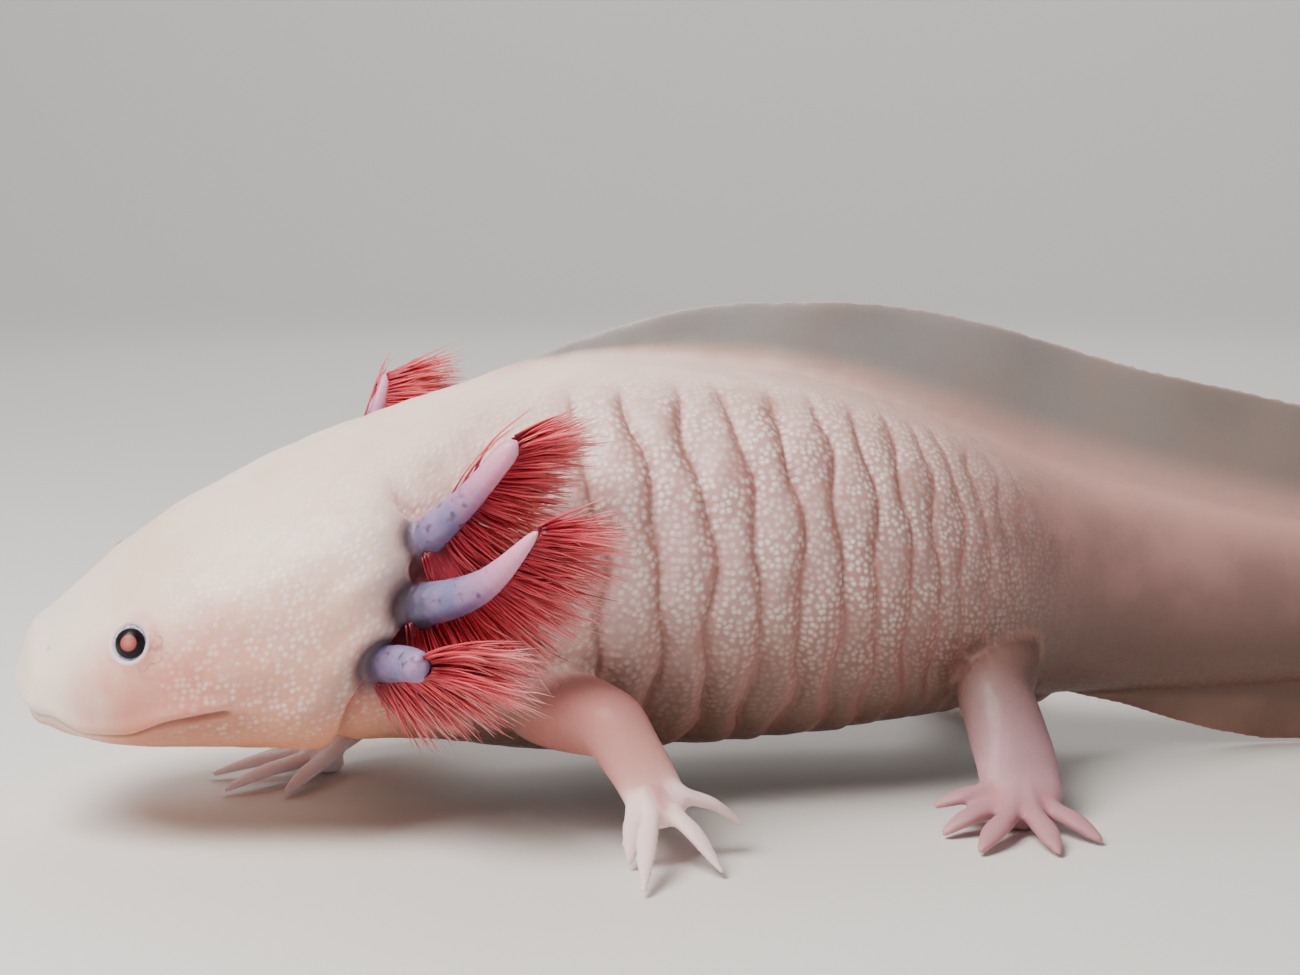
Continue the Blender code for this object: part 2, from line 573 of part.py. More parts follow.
def main():
    for old in list(bpy.data.objects):
        bpy.data.objects.remove(old, do_unlink=True)
    parts, cutters = collection("axolotl"), collection("cutters")
    looks = {
        "skin": material("skin", SKIN), "fin": material("fin", FIN), "limb": material("limb", LIMB),
        "stalk": material("gill_stalk", STALK), "filament": material("gill_filament", FILAMENT, 0.4),
        "eye": material("eye", EYE, 0.1),
    }
    floor = add_box("floor_cut", (30, 0, -10), (300, 160, 20), cutters)
    head, clearance = add_body(parts, cutters)
    part_jaw(head, parts, cutters)
    add_eyes(head, parts, cutters)
    for part in parts.objects:
        finish(part, looks["eye"] if part.name.startswith("eye") else looks["skin"])
    for fin in list(add_fins(parts)):
        boolean(fin, clearance, "DIFFERENCE")
        finish(fin, looks["fin"])
    for key, limb in LIMBS.items():
        for piece in add_limb(key, limb, parts, cutters, clearance, floor):
            finish(piece, looks["limb"])
    add_gills(parts, cutters, clearance, looks)
    for cutter in cutters.objects:
        cutter.hide_render = True
        cutter.display_type = "WIRE"
    bpy.context.view_layer.update()
    centre_on_origin(parts, cutters)


main()
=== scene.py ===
# %% [markdown]
# # A still, life-size axolotl
#
# This lesson dresses a plain solid model of an axolotl in skin, eyes and feathery gills. The solid
# model is the frame: it says where everything is and how large. Each step makes one surface with
# numpy, from a formula a reader can change, and hands it to Blender as a mesh.

import bmesh
import bpy
import numpy as np
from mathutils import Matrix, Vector


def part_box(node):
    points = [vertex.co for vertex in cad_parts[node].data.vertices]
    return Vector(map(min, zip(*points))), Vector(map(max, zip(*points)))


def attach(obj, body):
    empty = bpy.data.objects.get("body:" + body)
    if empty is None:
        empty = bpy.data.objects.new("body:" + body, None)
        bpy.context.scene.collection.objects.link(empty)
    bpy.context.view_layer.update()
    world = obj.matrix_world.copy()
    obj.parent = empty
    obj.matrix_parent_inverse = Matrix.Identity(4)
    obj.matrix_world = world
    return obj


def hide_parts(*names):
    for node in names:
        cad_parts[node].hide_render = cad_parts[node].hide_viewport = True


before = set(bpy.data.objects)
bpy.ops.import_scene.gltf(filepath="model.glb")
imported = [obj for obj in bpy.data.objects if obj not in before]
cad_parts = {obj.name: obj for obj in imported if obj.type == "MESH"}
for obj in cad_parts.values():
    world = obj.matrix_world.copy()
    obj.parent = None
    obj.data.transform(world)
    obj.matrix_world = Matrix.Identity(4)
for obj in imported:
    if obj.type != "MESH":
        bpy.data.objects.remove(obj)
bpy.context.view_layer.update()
print("frame nodes:", len(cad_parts))

# %% [markdown]
# ## Working measures
#
# The animal is laid out in millimetres, with the snout at X -84 and the floor at Z 0, because whole
# numbers are easy to think in. The frame tells how far that layout is from its own origin, so one
# shift carries every finished point into the frame, in metres.

# %% Layout to frame
MM = 0.001
SNOUT_X = -84.0
HEAD_START = SNOUT_X + 0.15  # the head's solid begins just behind the snout's very tip
HEAD_END, TAIL_END, FIN_END = -41.0, 154.0, 157.0

trunk_low, trunk_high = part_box("trunk")
SHIFT = np.array([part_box("head")[0].x / MM - HEAD_START, (trunk_low.y + trunk_high.y) / 2 / MM, 0.0])


def to_frame(points):
    """Layout millimetres to frame metres: add the shift, then multiply by a thousandth."""
    return (points + SHIFT) * MM


print("layout shift in millimetres:", SHIFT.round(2))

# %% [markdown]
# ## Curves through a few measures
#
# A body is measured at a few stations, as a vet or a sculptor would, and a curve runs through the
# measures. A plain spline overshoots between unlike stations and would pinch the neck, so the
# slopes here are limited: the curve never swings past its own points.

# %% A limited cubic curve
def smooth(xs, ys, x):
    """A cubic Hermite curve; each inner slope is the weighted mean of its neighbours, or 0 at a peak."""
    xs, ys, x = (np.asarray(v, float) for v in (xs, ys, x))
    step = np.diff(xs)
    slope = np.diff(ys) / step
    tangent = np.empty_like(ys)
    tangent[0], tangent[-1] = slope[0], slope[-1]
    before, after = slope[:-1], slope[1:]
    mean = (step[1:] * before + step[:-1] * after) / (step[1:] + step[:-1])
    most = 3 * np.minimum(abs(before), abs(after))
    tangent[1:-1] = np.where(before * after > 0, np.sign(mean) * np.minimum(abs(mean), most), 0)
    i = np.clip(np.searchsorted(xs, x) - 1, 0, len(step) - 1)
    t = np.clip((x - xs[i]) / step[i], 0, 1)
    start = (2 * t**3 - 3 * t**2 + 1) * ys[i] + (t**3 - 2 * t**2 + t) * step[i] * tangent[i]
    end = (3 * t**2 - 2 * t**3) * ys[i + 1] + (t**3 - t**2) * step[i] * tangent[i + 1]
    return start + end


def ease(low, high, x):
    """A smooth step, 3t^2 - 2t^3, from 0 at low to 1 at high; low may lie above high."""
    t = np.clip((np.asarray(x, float) - low) / (high - low), 0, 1)
    return t * t * (3 - 2 * t)


def bump(distance, width):
    """The bell curve exp(-(distance / width)^2)."""
    return np.exp(-((distance / width) ** 2))


def unit(vectors):
    """Each vector divided by its length."""
    return vectors / np.maximum(np.linalg.norm(vectors, axis=-1, keepdims=True), 1e-9)


# %% Body stations
# Place along the body, sideways place and height of the axis, half width, height above the axis,
# depth below it, roundness (2 is an ellipse, more is squarer) and roll to the left in degrees.
STATIONS = np.array([
    (-84.0, -1.0, 18.0, 0.0, 0.0, 0.0, 2.2, 12),  # snout tip
    (-83.0, -1.0, 18.0, 6.6, 3.6, 3.3, 2.2, 12),  # lip
    (-80.0, -1.0, 18.2, 11.2, 6.4, 4.9, 2.3, 12),  # nostrils
    (-75.0, -1.0, 18.8, 15.2, 9.8, 6.6, 2.4, 12),  # muzzle
    (-68.0, -1.0, 20.0, 18.4, 14.2, 8.1, 2.4, 12),  # eyes
    (-60.0, -1.0, 21.5, 21.0, 17.6, 9.8, 2.3, 12),  # mouth corners
    (-50.0, -0.6, 23.5, 23.2, 20.4, 12.5, 2.2, 11),  # cheeks
    (-42.0, -0.3, 25.0, 23.0, 22.2, 15.4, 2.15, 9),  # gill covers
    (-35.0, 0.0, 26.3, 20.5, 23.4, 18.6, 2.1, 6),  # gills
    (-27.0, 0.0, 28.0, 20.0, 23.8, 22.0, 2.1, 3),  # shoulders
    (-12.0, 0.0, 30.0, 22.5, 24.0, 25.0, 2.1, 0),  # chest
    (5.0, 0.0, 29.5, 23.5, 23.6, 24.2, 2.1, 0),  # belly
    (20.0, 0.0, 28.0, 22.5, 21.6, 21.8, 2.1, 0),  # flank
    (33.0, 0.0, 26.2, 19.0, 18.6, 19.0, 2.1, 0),  # hips
    (44.0, 0.0, 24.8, 14.5, 15.6, 16.6, 2.0, 0),  # vent
    (55.0, -1.0, 23.4, 11.0, 13.4, 15.0, 2.0, 0),  # tail root
    (70.0, -3.0, 21.4, 8.6, 11.6, 13.0, 2.0, 0),  # tail bends out
    (85.0, -3.5, 19.6, 7.0, 10.2, 11.2, 2.0, 0),
    (105.0, -1.0, 17.6, 5.2, 8.0, 8.8, 2.0, 0),  # tail bends in
    (125.0, 4.0, 16.2, 3.6, 5.6, 6.2, 2.0, 0),
    (154.0, 13.0, 15.0, 0.9, 1.3, 1.5, 2.0, 0),  # tail tip
])
LEAST_HALF = 0.05  # stands in for a half width of nothing at the snout's tip


def measures(x):
    """Axis y and z, half width, height above, depth below, roundness and roll in radians at x."""
    row = [smooth(STATIONS[:, 0], STATIONS[:, k], x) for k in range(1, 8)]
    row[6] = np.radians(row[6])
    return row


def body_place(x, across, up):
    """The place of a point that is given on the rolled axes of the section at x."""
    x, across, up = np.broadcast_arrays(x, across, up)
    y, z, *_, roll = measures(x)
    return np.stack([x, y + across * np.cos(roll) - up * np.sin(roll),
                     z + across * np.sin(roll) + up * np.cos(roll)], -1)


def axes_at(points, x):
    """How far across (right is positive) and up each point is on the rolled axes of the section at x."""
    y, z, *_, roll = measures(x)
    dy, dz = points[..., 1] - y, points[..., 2] - z
    return dy * np.cos(roll) + dz * np.sin(roll), dz * np.cos(roll) - dy * np.sin(roll)


def body_axes(points):
    """How far across and up each point is on the axes of its own section."""
    return axes_at(points, points[..., 0])


def skin_point(x, angle):
    """A point of the smooth skin: a rounded ellipse, half * |cos|^(2/p) across, height * |sin|^(2/p) up."""
    _, _, half, above, below, power, _ = measures(x)
    c, s = np.cos(angle), np.sin(angle)
    across = half * np.sign(c) * abs(c) ** (2 / power)
    up = np.where(s > 0, above, below) * np.sign(s) * abs(s) ** (2 / power)
    return body_place(x, across, up)


def in_section(points):
    """How far across and up each point is, as shares of its section's half width and height."""
    _, _, half, above, below, *_ = measures(points[..., 0])
    across, up = body_axes(points)
    tall = np.maximum(np.where(up > 0, above, below), LEAST_HALF)
    return across / np.maximum(half, LEAST_HALF), up / tall


def depth(points):
    """0 on the body's axis, 1 on its smooth skin and more outside."""
    across, up = in_section(points)
    power = measures(points[..., 0])[5]
    return (abs(across) ** power + abs(up) ** power) ** (1 / power)


print("widest half width:", float(max(STATIONS[:, 3])), "mm")

# %% [markdown]
# ## Closed shapes from rings
#
# Flesh starts as separate closed shapes that overlap: a body, fins, limbs, fingers, gill stalks.
# Each is a grid of rings. Voxels join them later, so they need no booleans here and may cross
# freely. Each end is closed with one more ring, drawn together to a point.

# %% Rings to a closed shape
WELD_DISTANCE = 1e-7  # metres


def closed(rings):
    """A grid of rings (ring, point, xyz) with both ends drawn together to their middles."""
    ends = [np.repeat(ring.mean(0)[None], rings.shape[1], 0)[None] for ring in (rings[0], rings[-1])]
    return np.concatenate([ends[0], rings, ends[1]])


def ring_quads(rows, columns):
    """Four-sided faces between neighbouring rings; the last point of a ring joins its first."""
    r, c = np.meshgrid(np.arange(rows - 1), np.arange(columns), indexing="ij")
    after = (c + 1) % columns
    corners = [r * columns + c, r * columns + after, (r + 1) * columns + after, (r + 1) * columns + c]
    return np.stack(corners, -1).reshape(-1, 4)


def join_shapes(shapes):
    """Points and faces of many grids, each closed first, as one pair of arrays."""
    points, quads, first = [], [], 0
    for grid in map(closed, shapes):
        points.append(grid.reshape(-1, 3))
        quads.append(ring_quads(*grid.shape[:2]) + first)
        first += len(points[-1])
    return np.concatenate(points), np.concatenate(quads)


def new_object(name, data):
    made = bpy.data.objects.new(name, data)
    bpy.context.scene.collection.objects.link(made)
    return made


def mesh_object(name, points, quads):
    """An object from whole arrays, with foreach_set instead of a loop over vertices."""
    mesh = bpy.data.meshes.new(name)
    mesh.vertices.add(len(points))
    set_points(mesh, points)
    mesh.loops.add(quads.size)
    mesh.loops.foreach_set("vertex_index", quads.astype(np.int32).ravel())
    mesh.polygons.add(len(quads))
    mesh.polygons.foreach_set("loop_start", np.arange(0, quads.size, 4, dtype=np.int32))
    mesh.update(calc_edges=True)
    return new_object(name, mesh)


def set_points(mesh, points):
    """Moves all of a mesh's points at once."""
    mesh.vertices.foreach_set("co", points.astype(np.float32).ravel())


def read(items, field, width, kind=np.float32):
    """One field of all of a mesh's items, as rows of width numbers."""
    values = np.empty(len(items) * width, kind)
    items.foreach_get(field, values)
    return values.reshape(-1, width)


def store(mesh, name, values, kind="FLOAT", field="value"):
    """Keeps a number or a vector for each point, under a name that a material can read."""
    layer = mesh.attributes.new(name, kind, "POINT")
    layer.data.foreach_set(field, values.astype(np.float32).ravel())


def shade_smooth(mesh):
    mesh.polygons.foreach_set("use_smooth", np.ones(len(mesh.polygons), bool))


def weld(mesh):
    """Merges the doubled points at closed ends, turns every face outwards and shades it smooth."""
    shape = bmesh.new()
    shape.from_mesh(mesh)
    bmesh.ops.remove_doubles(shape, verts=shape.verts, dist=WELD_DISTANCE)
    bmesh.ops.recalc_face_normals(shape, faces=shape.faces)
    shape.to_mesh(mesh)
    shape.free()
    shade_smooth(mesh)


def triangle_count(mesh):
    """A face with n corners makes n - 2 triangles."""
    return sum(len(face.vertices) - 2 for face in mesh.polygons)


def path_frames(points, count, across):
    """Points, side and up directions at even steps of a smooth curve through the given points."""
    points, across = np.array(points, float), np.array(across, float)
    along = np.concatenate([[0], np.cumsum(np.linalg.norm(np.diff(points, axis=0), axis=1))])
    along /= along[-1]
    steps = np.linspace(0, 1, count)
    centres = np.stack([smooth(along, points[:, k], steps) for k in range(3)], 1)
    tangents = unit(np.gradient(centres, axis=0))
    side = unit(across - tangents * (tangents @ across)[:, None])
    return centres, side, np.cross(side, tangents), along, steps


def along_line(share, steps, rows):
    """The point or direction at each share of a line that is given at the steps."""
    return np.stack([np.interp(share, steps, rows[:, k]) for k in range(3)], -1)


def tube(points, widths, heights, across, count, sides, blunt=0.06):
    """Elliptical rings along a path; over the last share, blunt, the size falls as sqrt(1 - t^2)."""
    centres, side, up, along, steps = path_frames(points, count, across)
    steps_round = np.sqrt(1 - np.clip((steps - 1 + blunt) / blunt, 0, 0.98) ** 2)
    wide = smooth(along, widths, steps) * steps_round
    tall = smooth(along, heights, steps) * steps_round
    turns = np.linspace(0, 2 * np.pi, sides, endpoint=False)
    return (centres[:, None] + side[:, None] * (wide[:, None] * np.cos(turns))[..., None]
            + up[:, None] * (tall[:, None] * np.sin(turns))[..., None])


def ball(centre, radii, rows=16, columns=24):
    """An ellipsoid as rings from its lowest to its highest point."""
    tilt = np.linspace(-np.pi / 2, np.pi / 2, rows)[1:-1, None]
    turn = np.linspace(0, 2 * np.pi, columns, endpoint=False)[None]
    grid = np.stack([np.cos(tilt) * np.cos(turn), np.cos(tilt) * np.sin(turn),
                     np.sin(tilt) * np.ones_like(turn)], -1)
    return np.array(centre, float) + grid * np.array(radii, float)


# %% [markdown]
# ## Body and fins
#
# The body is the smooth skin formula on a grid of places along and angles around. A fin is a thin
# blade: its half thickness is an edge value plus a root that fades with height, so that it leaves
# the back in a soft curve. The free edge waves a little from side to side, as wet fins do.

# %% Body and fin shapes
UPPER_FIN_EDGE = {-37: 46.6, -30: 51.2, -22: 54.4, -14: 57.2, -2: 60.2, 8: 60.9, 20: 60.8, 30: 59.6,
                  60: 51.6, 90: 44.5, 120: 34.8, 135: 28.6, 147: 22.4, 155: 17.4, 157: 15.8}
LOWER_FIN_EDGE = {48: 8.6, 58: 6.0, 66: 3.4, 74: 1.2, 82: 0.0, 98: 0.0, 112: 1.0, 125: 3.2,
                  138: 6.2, 148: 9.4, 155: 12.8, 157: 14.2}
UPPER_FIN_START, LOWER_FIN_START = -36.5, 51.0
FIN_SUNK = 3.0  # how deep a fin starts inside the body
FIN_EDGE_HALF, FIN_ROOT_HALF = 0.5, 2.3
FIN_WAVE, FIN_WAVE_LENGTH = 0.5, 23.0
FIN_TAPER = 60.0  # the root's half thickness shrinks over this last stretch
FIN_STEP, FIN_ROWS = 0.7, 18
BODY_STEP, BODY_SIDES, SNOUT_RINGS = 0.8, 160, 24

near_snout = SNOUT_X + 4 * np.linspace(0, 1, SNOUT_RINGS, endpoint=False) ** 2
along_body = np.concatenate([near_snout, np.arange(SNOUT_X + 4, TAIL_END, BODY_STEP), [TAIL_END]])
around_body = np.linspace(0, 2 * np.pi, BODY_SIDES, endpoint=False)
body = skin_point(along_body[:, None], around_body[None])


def edge_at(edge, x):
    """The smooth curve through a table of places and values."""
    return smooth(list(edge), list(edge.values()), x)


def back_top(x):
    """Height of the skin on the middle of the back."""
    _, z, _, above, *_ = measures(np.minimum(x, TAIL_END))
    return z + above


def belly_bottom(x):
    """Height of the skin under the middle of the belly."""
    _, z, _, _, below, *_ = measures(np.minimum(x, TAIL_END))
    return z - below


def fin(start, root, edge, sign):
    """A blade: half thickness = edge half + (root half - edge half) (1 - v)^2, v from root to edge."""
    x = np.arange(start, FIN_END, FIN_STEP)[:, None]
    v = np.linspace(0, 1, FIN_ROWS)[None]
    axis_y, axis_z, *_ = measures(np.minimum(x, TAIL_END))
    low = root(x) - sign * np.minimum(FIN_SUNK, abs(root(x) - axis_z))
    high = sign * np.maximum(sign * edge_at(edge, x), sign * low + 0.6)
    taper = np.clip((FIN_END - x) / FIN_TAPER, 0.25, 1)
    half = FIN_EDGE_HALF + (FIN_ROOT_HALF * taper - FIN_EDGE_HALF) * (1 - v) ** 2
    half = half * np.sqrt(1 - 0.96 * v**24)
    y = axis_y + FIN_WAVE * v**2 * np.sin(2 * np.pi * x / FIN_WAVE_LENGTH) * ease(-30, 0, x)
    z = low + (high - low) * v
    x = x + 0 * v
    right, left = np.stack([x, y + half, z], -1), np.stack([x, y - half, z], -1)
    return np.concatenate([right, left[:, ::-1]], 1)


upper_fin = fin(UPPER_FIN_START, back_top, UPPER_FIN_EDGE, 1)
lower_fin = fin(LOWER_FIN_START, belly_bottom, LOWER_FIN_EDGE, -1)
print("body grid:", body.shape[:2], "upper fin grid:", upper_fin.shape[:2])

# %% [markdown]
# ## Limbs, fingers and toes
#
# An axolotl has four fingers and five toes. Each limb is a tube along a bent path, and each digit
# is a flat tube that starts at the wrist, like the bone under the skin of a real hand, so that low
# ridges fan out over the palm. Thin webs fill the roots. The numbers follow the frame's own limbs.

# %% Limb measures
# Path from inside the body to the knuckles, half widths and half thicknesses there, the direction
# across the hand, and each digit's root, tip and the rise of its middle.
LIMBS = {
    "arm_left": {
        "path": [(-26, -8, 18), (-22.8, -17, 14.6), (-18.1, -26.5, 14.2), (-16.4, -29.5, 11.6),
                 (-15.0, -32.0, 8.8), (-14.2, -34.0, 6.4), (-14.2, -37.2, 4.6)],
        "wide": [6.0, 5.2, 4.1, 3.7, 3.5, 3.4, 2.4], "thick": [6.0, 5.2, 4.1, 3.4, 2.4, 1.5, 0.9],
        "across": (1, -0.25, 0), "digit": 1.12,
        "digits": [((-11.2, -34.6, 7.0), (-4.0, -33.5, 3.2), 0.9),
                   ((-13.2, -35.2, 5.8), (-8.8, -42.6, 0.5), 0.9),
                   ((-15.6, -35.6, 6.2), (-19, -47, 0.5), 0.8),
                   ((-17.0, -34.6, 5.6), (-18.2, -37.2, 0.5), 0.6)],
    },
    "arm_right": {
        "path": [(-27, 8, 19), (-28, 17, 16), (-33, 23, 12), (-39, 19.5, 8), (-43.5, 15.5, 4.4),
                 (-48.5, 11.5, 1.8)],
        "wide": [6.0, 5.2, 4.0, 3.5, 3.2, 2.2], "thick": [6.0, 5.2, 4.0, 3.2, 1.9, 1.1],
        "across": (0.5, 1, 0), "digit": 1.2,
        "digits": [((-48, 15.0, 2.0), (-55.5, 20.5, 0.5), 0.5), ((-50.5, 12.8, 2.0), (-61.5, 12.6, 0.5), 0.7),
                   ((-50, 10, 2.0), (-60.4, 4.4, 0.5), 0.7), ((-47, 9.0, 2.2), (-53, 1.6, 0.5), 0.5)],
    },
    "leg_left": {
        "path": [(38, -6, 20), (35.6, -14, 15.6), (31.8, -21.5, 12.6), (31.8, -26.5, 8.0),
                 (31.3, -30.5, 4.4), (30.1, -34.5, 1.8)],
        "wide": [4.8, 4.6, 4.6, 4.9, 5.0, 3.4], "thick": [5.4, 5.0, 4.5, 3.9, 2.4, 1.2],
        "across": (1, 0, 0.05), "digit": 1.35,
        "digits": [((26.6, -30.5, 3.6), (20.2, -30, 2.6), 0.6), ((26.4, -32.6, 2.2), (19.6, -34.4, 0.5), 0.7),
                   ((27.6, -35.4, 2.0), (21.2, -42, 0.5), 0.6), ((30.6, -36, 2.0), (30.0, -44.6, 0.5), 0.6),
                   ((33.4, -34, 2.2), (36.8, -41.6, 0.5), 0.6)],
    },
    "leg_right": {
        "path": [(38, 6, 20), (39.5, 14, 15.6), (45, 21.5, 12.6), (46.4, 26, 8.0), (45.8, 29.5, 4.4),
                 (44.6, 33.5, 1.8)],
        "wide": [4.8, 4.6, 4.6, 4.8, 4.9, 3.4], "thick": [5.4, 5.0, 4.5, 3.9, 2.4, 1.2],
        "across": (-1, 0, 0.05), "digit": 1.35,
        "digits": [((41.4, 30.0, 2.6), (34.8, 31.8, 0.5), 0.7), ((41.0, 32.6, 2.2), (34.4, 37.6, 0.5), 0.7),
                   ((43.2, 35.2, 2.0), (39.2, 43.6, 0.5), 0.6), ((46.2, 35, 2.0), (47.4, 43.8, 0.5), 0.6),
                   ((48.4, 32.6, 2.2), (54.0, 38.6, 0.5), 0.6)],
    },
}
WRIST = 0.74  # where the digits' bones begin, as a share of the limb's path
BONE_HEIGHT = 0.5  # how far a digit's root lies above the place given
WEB_HALF = 0.5
WEB_REACH = 0.56  # how far along its two digits a web goes; its free edge dips between them
WEB_DIP = 0.14
FLAT_BELOW = 3.0  # a hand or foot whose knuckles are lower than this stands on a pad under its palm
PAD_BACK, PAD_HEIGHT, PAD_RADII = 2.6, 1.1, (2.3, 2.3, 1.4)


# %% Limb shapes
def digit_path(limb, root, tip, rise):
    """From the wrist over the root and a raised middle to the tip."""
    centres, *_ = path_frames(limb["path"], 51, limb["across"])
    wrist = centres[int(WRIST * 50)]
    root, tip = np.array(root, float), np.array(tip, float)
    start = wrist * 0.75 + root * 0.25 + np.array([0, 0, 0.4])
    middle = root * 0.55 + tip * 0.45 + np.array([0, 0, rise])
    return [start, root + (0, 0, BONE_HEIGHT), middle, tip]


def digit(limb, root, tip, rise):
    """A flat tube, almost even from the wrist on, a little wider at its middle and pointed at the tip."""
    path = digit_path(limb, root, tip, rise)
    flat = np.cross(np.array(tip, float) - np.array(root, float), (0, 0, 1))
    wide = np.array([1.0, 0.98, 1.15, 0.36]) * limb["digit"]
    tall = np.array([0.9, 0.85, 0.68, 0.3]) * limb["digit"]
    return tube(path, wide, tall, flat, 48, 20)


def web(limb, one, other):
    """A thin slab between two digits; its free edge is a curve that dips halfway."""
    share = np.linspace(0, 1, 14)[:, None]
    lines = [path_frames(digit_path(limb, *spec), 41, (0, 0, 1))[0] for spec in (one, other)]
    reach = (WEB_REACH - WEB_DIP * np.sin(np.pi * share)) * np.linspace(0, 1, 16)[None]
    place = np.linspace(0, 1, 41)
    top = [along_line(reach, place, line) for line in lines]
    middle = top[0] * (1 - share[..., None]) + top[1] * share[..., None]
    lift = np.array([0, 0, WEB_HALF])
    return np.concatenate([middle + lift, (middle - lift)[:, ::-1]], 1)


def limb_shapes(limb):
    """The limb's tube, its digits, the webs between them and, under a flat palm, a pad."""
    shapes = [tube(limb["path"], limb["wide"], limb["thick"], limb["across"], 70, 40, 0.1)]
    shapes += [digit(limb, *spec) for spec in limb["digits"]]
    shapes += [web(limb, one, other) for one, other in zip(limb["digits"], limb["digits"][1:])]
    knuckles = np.array(limb["path"][-1], float)
    if knuckles[2] < FLAT_BELOW:
        back = np.array(limb["path"][-2], float) - knuckles
        back[2] = 0
        pad = knuckles + unit(back) * PAD_BACK
        pad[2] = PAD_HEIGHT
        shapes.append(ball(pad, PAD_RADII))
    return shapes


limbs = {name: limb_shapes(limb) for name, limb in LIMBS.items()}
print("shapes in each limb:", {name: len(shapes) for name, shapes in limbs.items()})

# %% [markdown]
# ## Gill stalks and gill covers
#
# Three stalks stand out behind each cheek, each a bent taper. The right ones are the left ones
# mirrored across the head's rolled middle plane and swung forward a little. In front of them the
# skin ends in soft knobs, the free edge of the gill cover, so a few flat balls are laid there.

# %% Gill measures
# Path from inside the head to the tip, half height and half thickness along it, the filaments'
# length and direction at the root and at the tip and how far they droop, the share of the stalk that
# stays bare outside the head, and how the right one's tip is swung.
GILLS = {
    1: {"path": [(-43, -12.5, 28.5), (-38.6, -19.4, 34.6), (-33.8, -22.9, 40.0), (-28.5, -27, 47.2)],
        "tall": [2.7, 2.3, 1.85, 1.3], "thick": [2.4, 1.9, 1.5, 1.1], "length": (9, 7.5), "bare": 0.085,
        "comb": ((0.25, 0.1, -1.0), (0.9, 0.2, 0.25)), "swing": (-8, 4.5, -3.5), "droop": 0.02},
    2: {"path": [(-45, -15, 26.5), (-39.8, -21.8, 27.9), (-33.2, -28, 30.9), (-27.4, -34, 38.2)],
        "tall": [2.9, 2.7, 2.0, 0.6], "thick": [2.4, 2.0, 1.5, 0.55], "length": (11, 9.5), "bare": 0.085,
        "comb": ((0.2, 0.0, -1.0), (0.9, 0.45, -0.1)), "swing": (-5, 2, 0), "droop": 0.08},
    3: {"path": [(-49.5, -14, 20.4), (-45.2, -20.6, 21.0), (-41.8, -27, 22.6), (-40.2, -33, 23.3)],
        "tall": [2.3, 2.2, 2.1, 1.8], "thick": [2.2, 1.9, 1.7, 1.4], "length": (6.5, 10), "bare": 0.16,
        "comb": ((0.35, 0.1, -0.85), (0.95, 0.15, 0.12)), "swing": (-2, 0, 0), "droop": 0.3},
}
STALK_ACROSS = (0.2, 0.1, 1)


def mirrored(points):
    """The twins of points across the rolled middle plane at the rear of the head."""
    points = np.asarray(points, float)
    across, up = axes_at(points, HEAD_END)
    twins = body_place(HEAD_END, -across, up)
    twins[..., 0] = points[..., 0]
    return twins


def gill(side, number):
    """The measures of one gill with its path and comb directions on its own side."""
    made = dict(GILLS[number])
    path, comb = np.array(made["path"], float), np.array(made["comb"], float)
    if side == "right":
        swing = np.array(made["swing"], float) * np.linspace(0, 1, len(path))[:, None]
        path, comb = mirrored(path) + swing, mirrored(comb) - mirrored(np.zeros(3))
    return {**made, "path": path, "comb": comb}


gills = {f"{side}_{number}": gill(side, number) for side in ("left", "right") for number in GILLS}
stalks = {name: tube(g["path"], g["tall"], g["thick"], STALK_ACROSS, 60, 32, 0.07)
          for name, g in gills.items()}

# Knobs of the gill cover on the left side: middle and radii.
COVER_KNOBS = [((-43.4, -16.4, 37.2), (2.6, 2.0, 2.4)), ((-41.4, -19.5, 34.6), (2.6, 1.6, 2.3)),
               ((-42.3, -21.4, 29.8), (2.7, 1.5, 2.6))]
knobs = []
for middle, radii in COVER_KNOBS:
    knobs += [ball(middle, radii), ball(mirrored(middle), radii)]
vent = ball((43.5, -1.0, 9.6), (5.0, 3.6, 2.9))
print("gill stalks:", sorted(stalks))

# %% [markdown]
# ## One skin over everything
#
# Many overlapping shapes become one skin with a voxel remesh, which keeps only the outside. That
# leaves hard creases where shapes meet. A living animal has soft valleys there, so points that lie
# in a valley are drawn out to the mean of their neighbours, again and again, until it is round.

# %% Join by voxels
VOXEL = 0.4
MOST_TRIANGLES = 190000


def modify(obj, kind, **settings):
    """Gives an object the mesh that one modifier makes of it."""
    step = obj.modifiers.new(kind, kind)
    for name, value in settings.items():
        setattr(step, name, value)
    graph = bpy.context.evaluated_depsgraph_get()
    mesh = bpy.data.meshes.new_from_object(obj.evaluated_get(graph))
    obj.modifiers.clear()
    obj.data = mesh


flesh = [body, upper_fin, lower_fin, vent, *sum(limbs.values(), []), *stalks.values(), *knobs]
skin = mesh_object("axolotl_skin", *join_shapes(flesh))
modify(skin, "REMESH", mode="VOXEL", voxel_size=VOXEL)
print("points after the voxel join:", len(skin.data.vertices))


# %% Fill the valleys
VALLEY_ROUNDS, WHOLE_ROUNDS, FIN_ROUNDS = 36, 3, 10


def spread(indices, values, count):
    """Adds each row of values to the point that its index names."""
    return np.stack([np.bincount(indices, values[:, k], count) for k in range(3)], 1)


def point_normals(points, corners):
    """The sum of the normals of the four-sided faces round each point, made one unit long."""
    a = points[corners]
    normal = np.cross(a[:, 2] - a[:, 0], a[:, 3] - a[:, 1])
    return unit(sum(spread(corners[:, k], normal, len(points)) for k in range(4)))


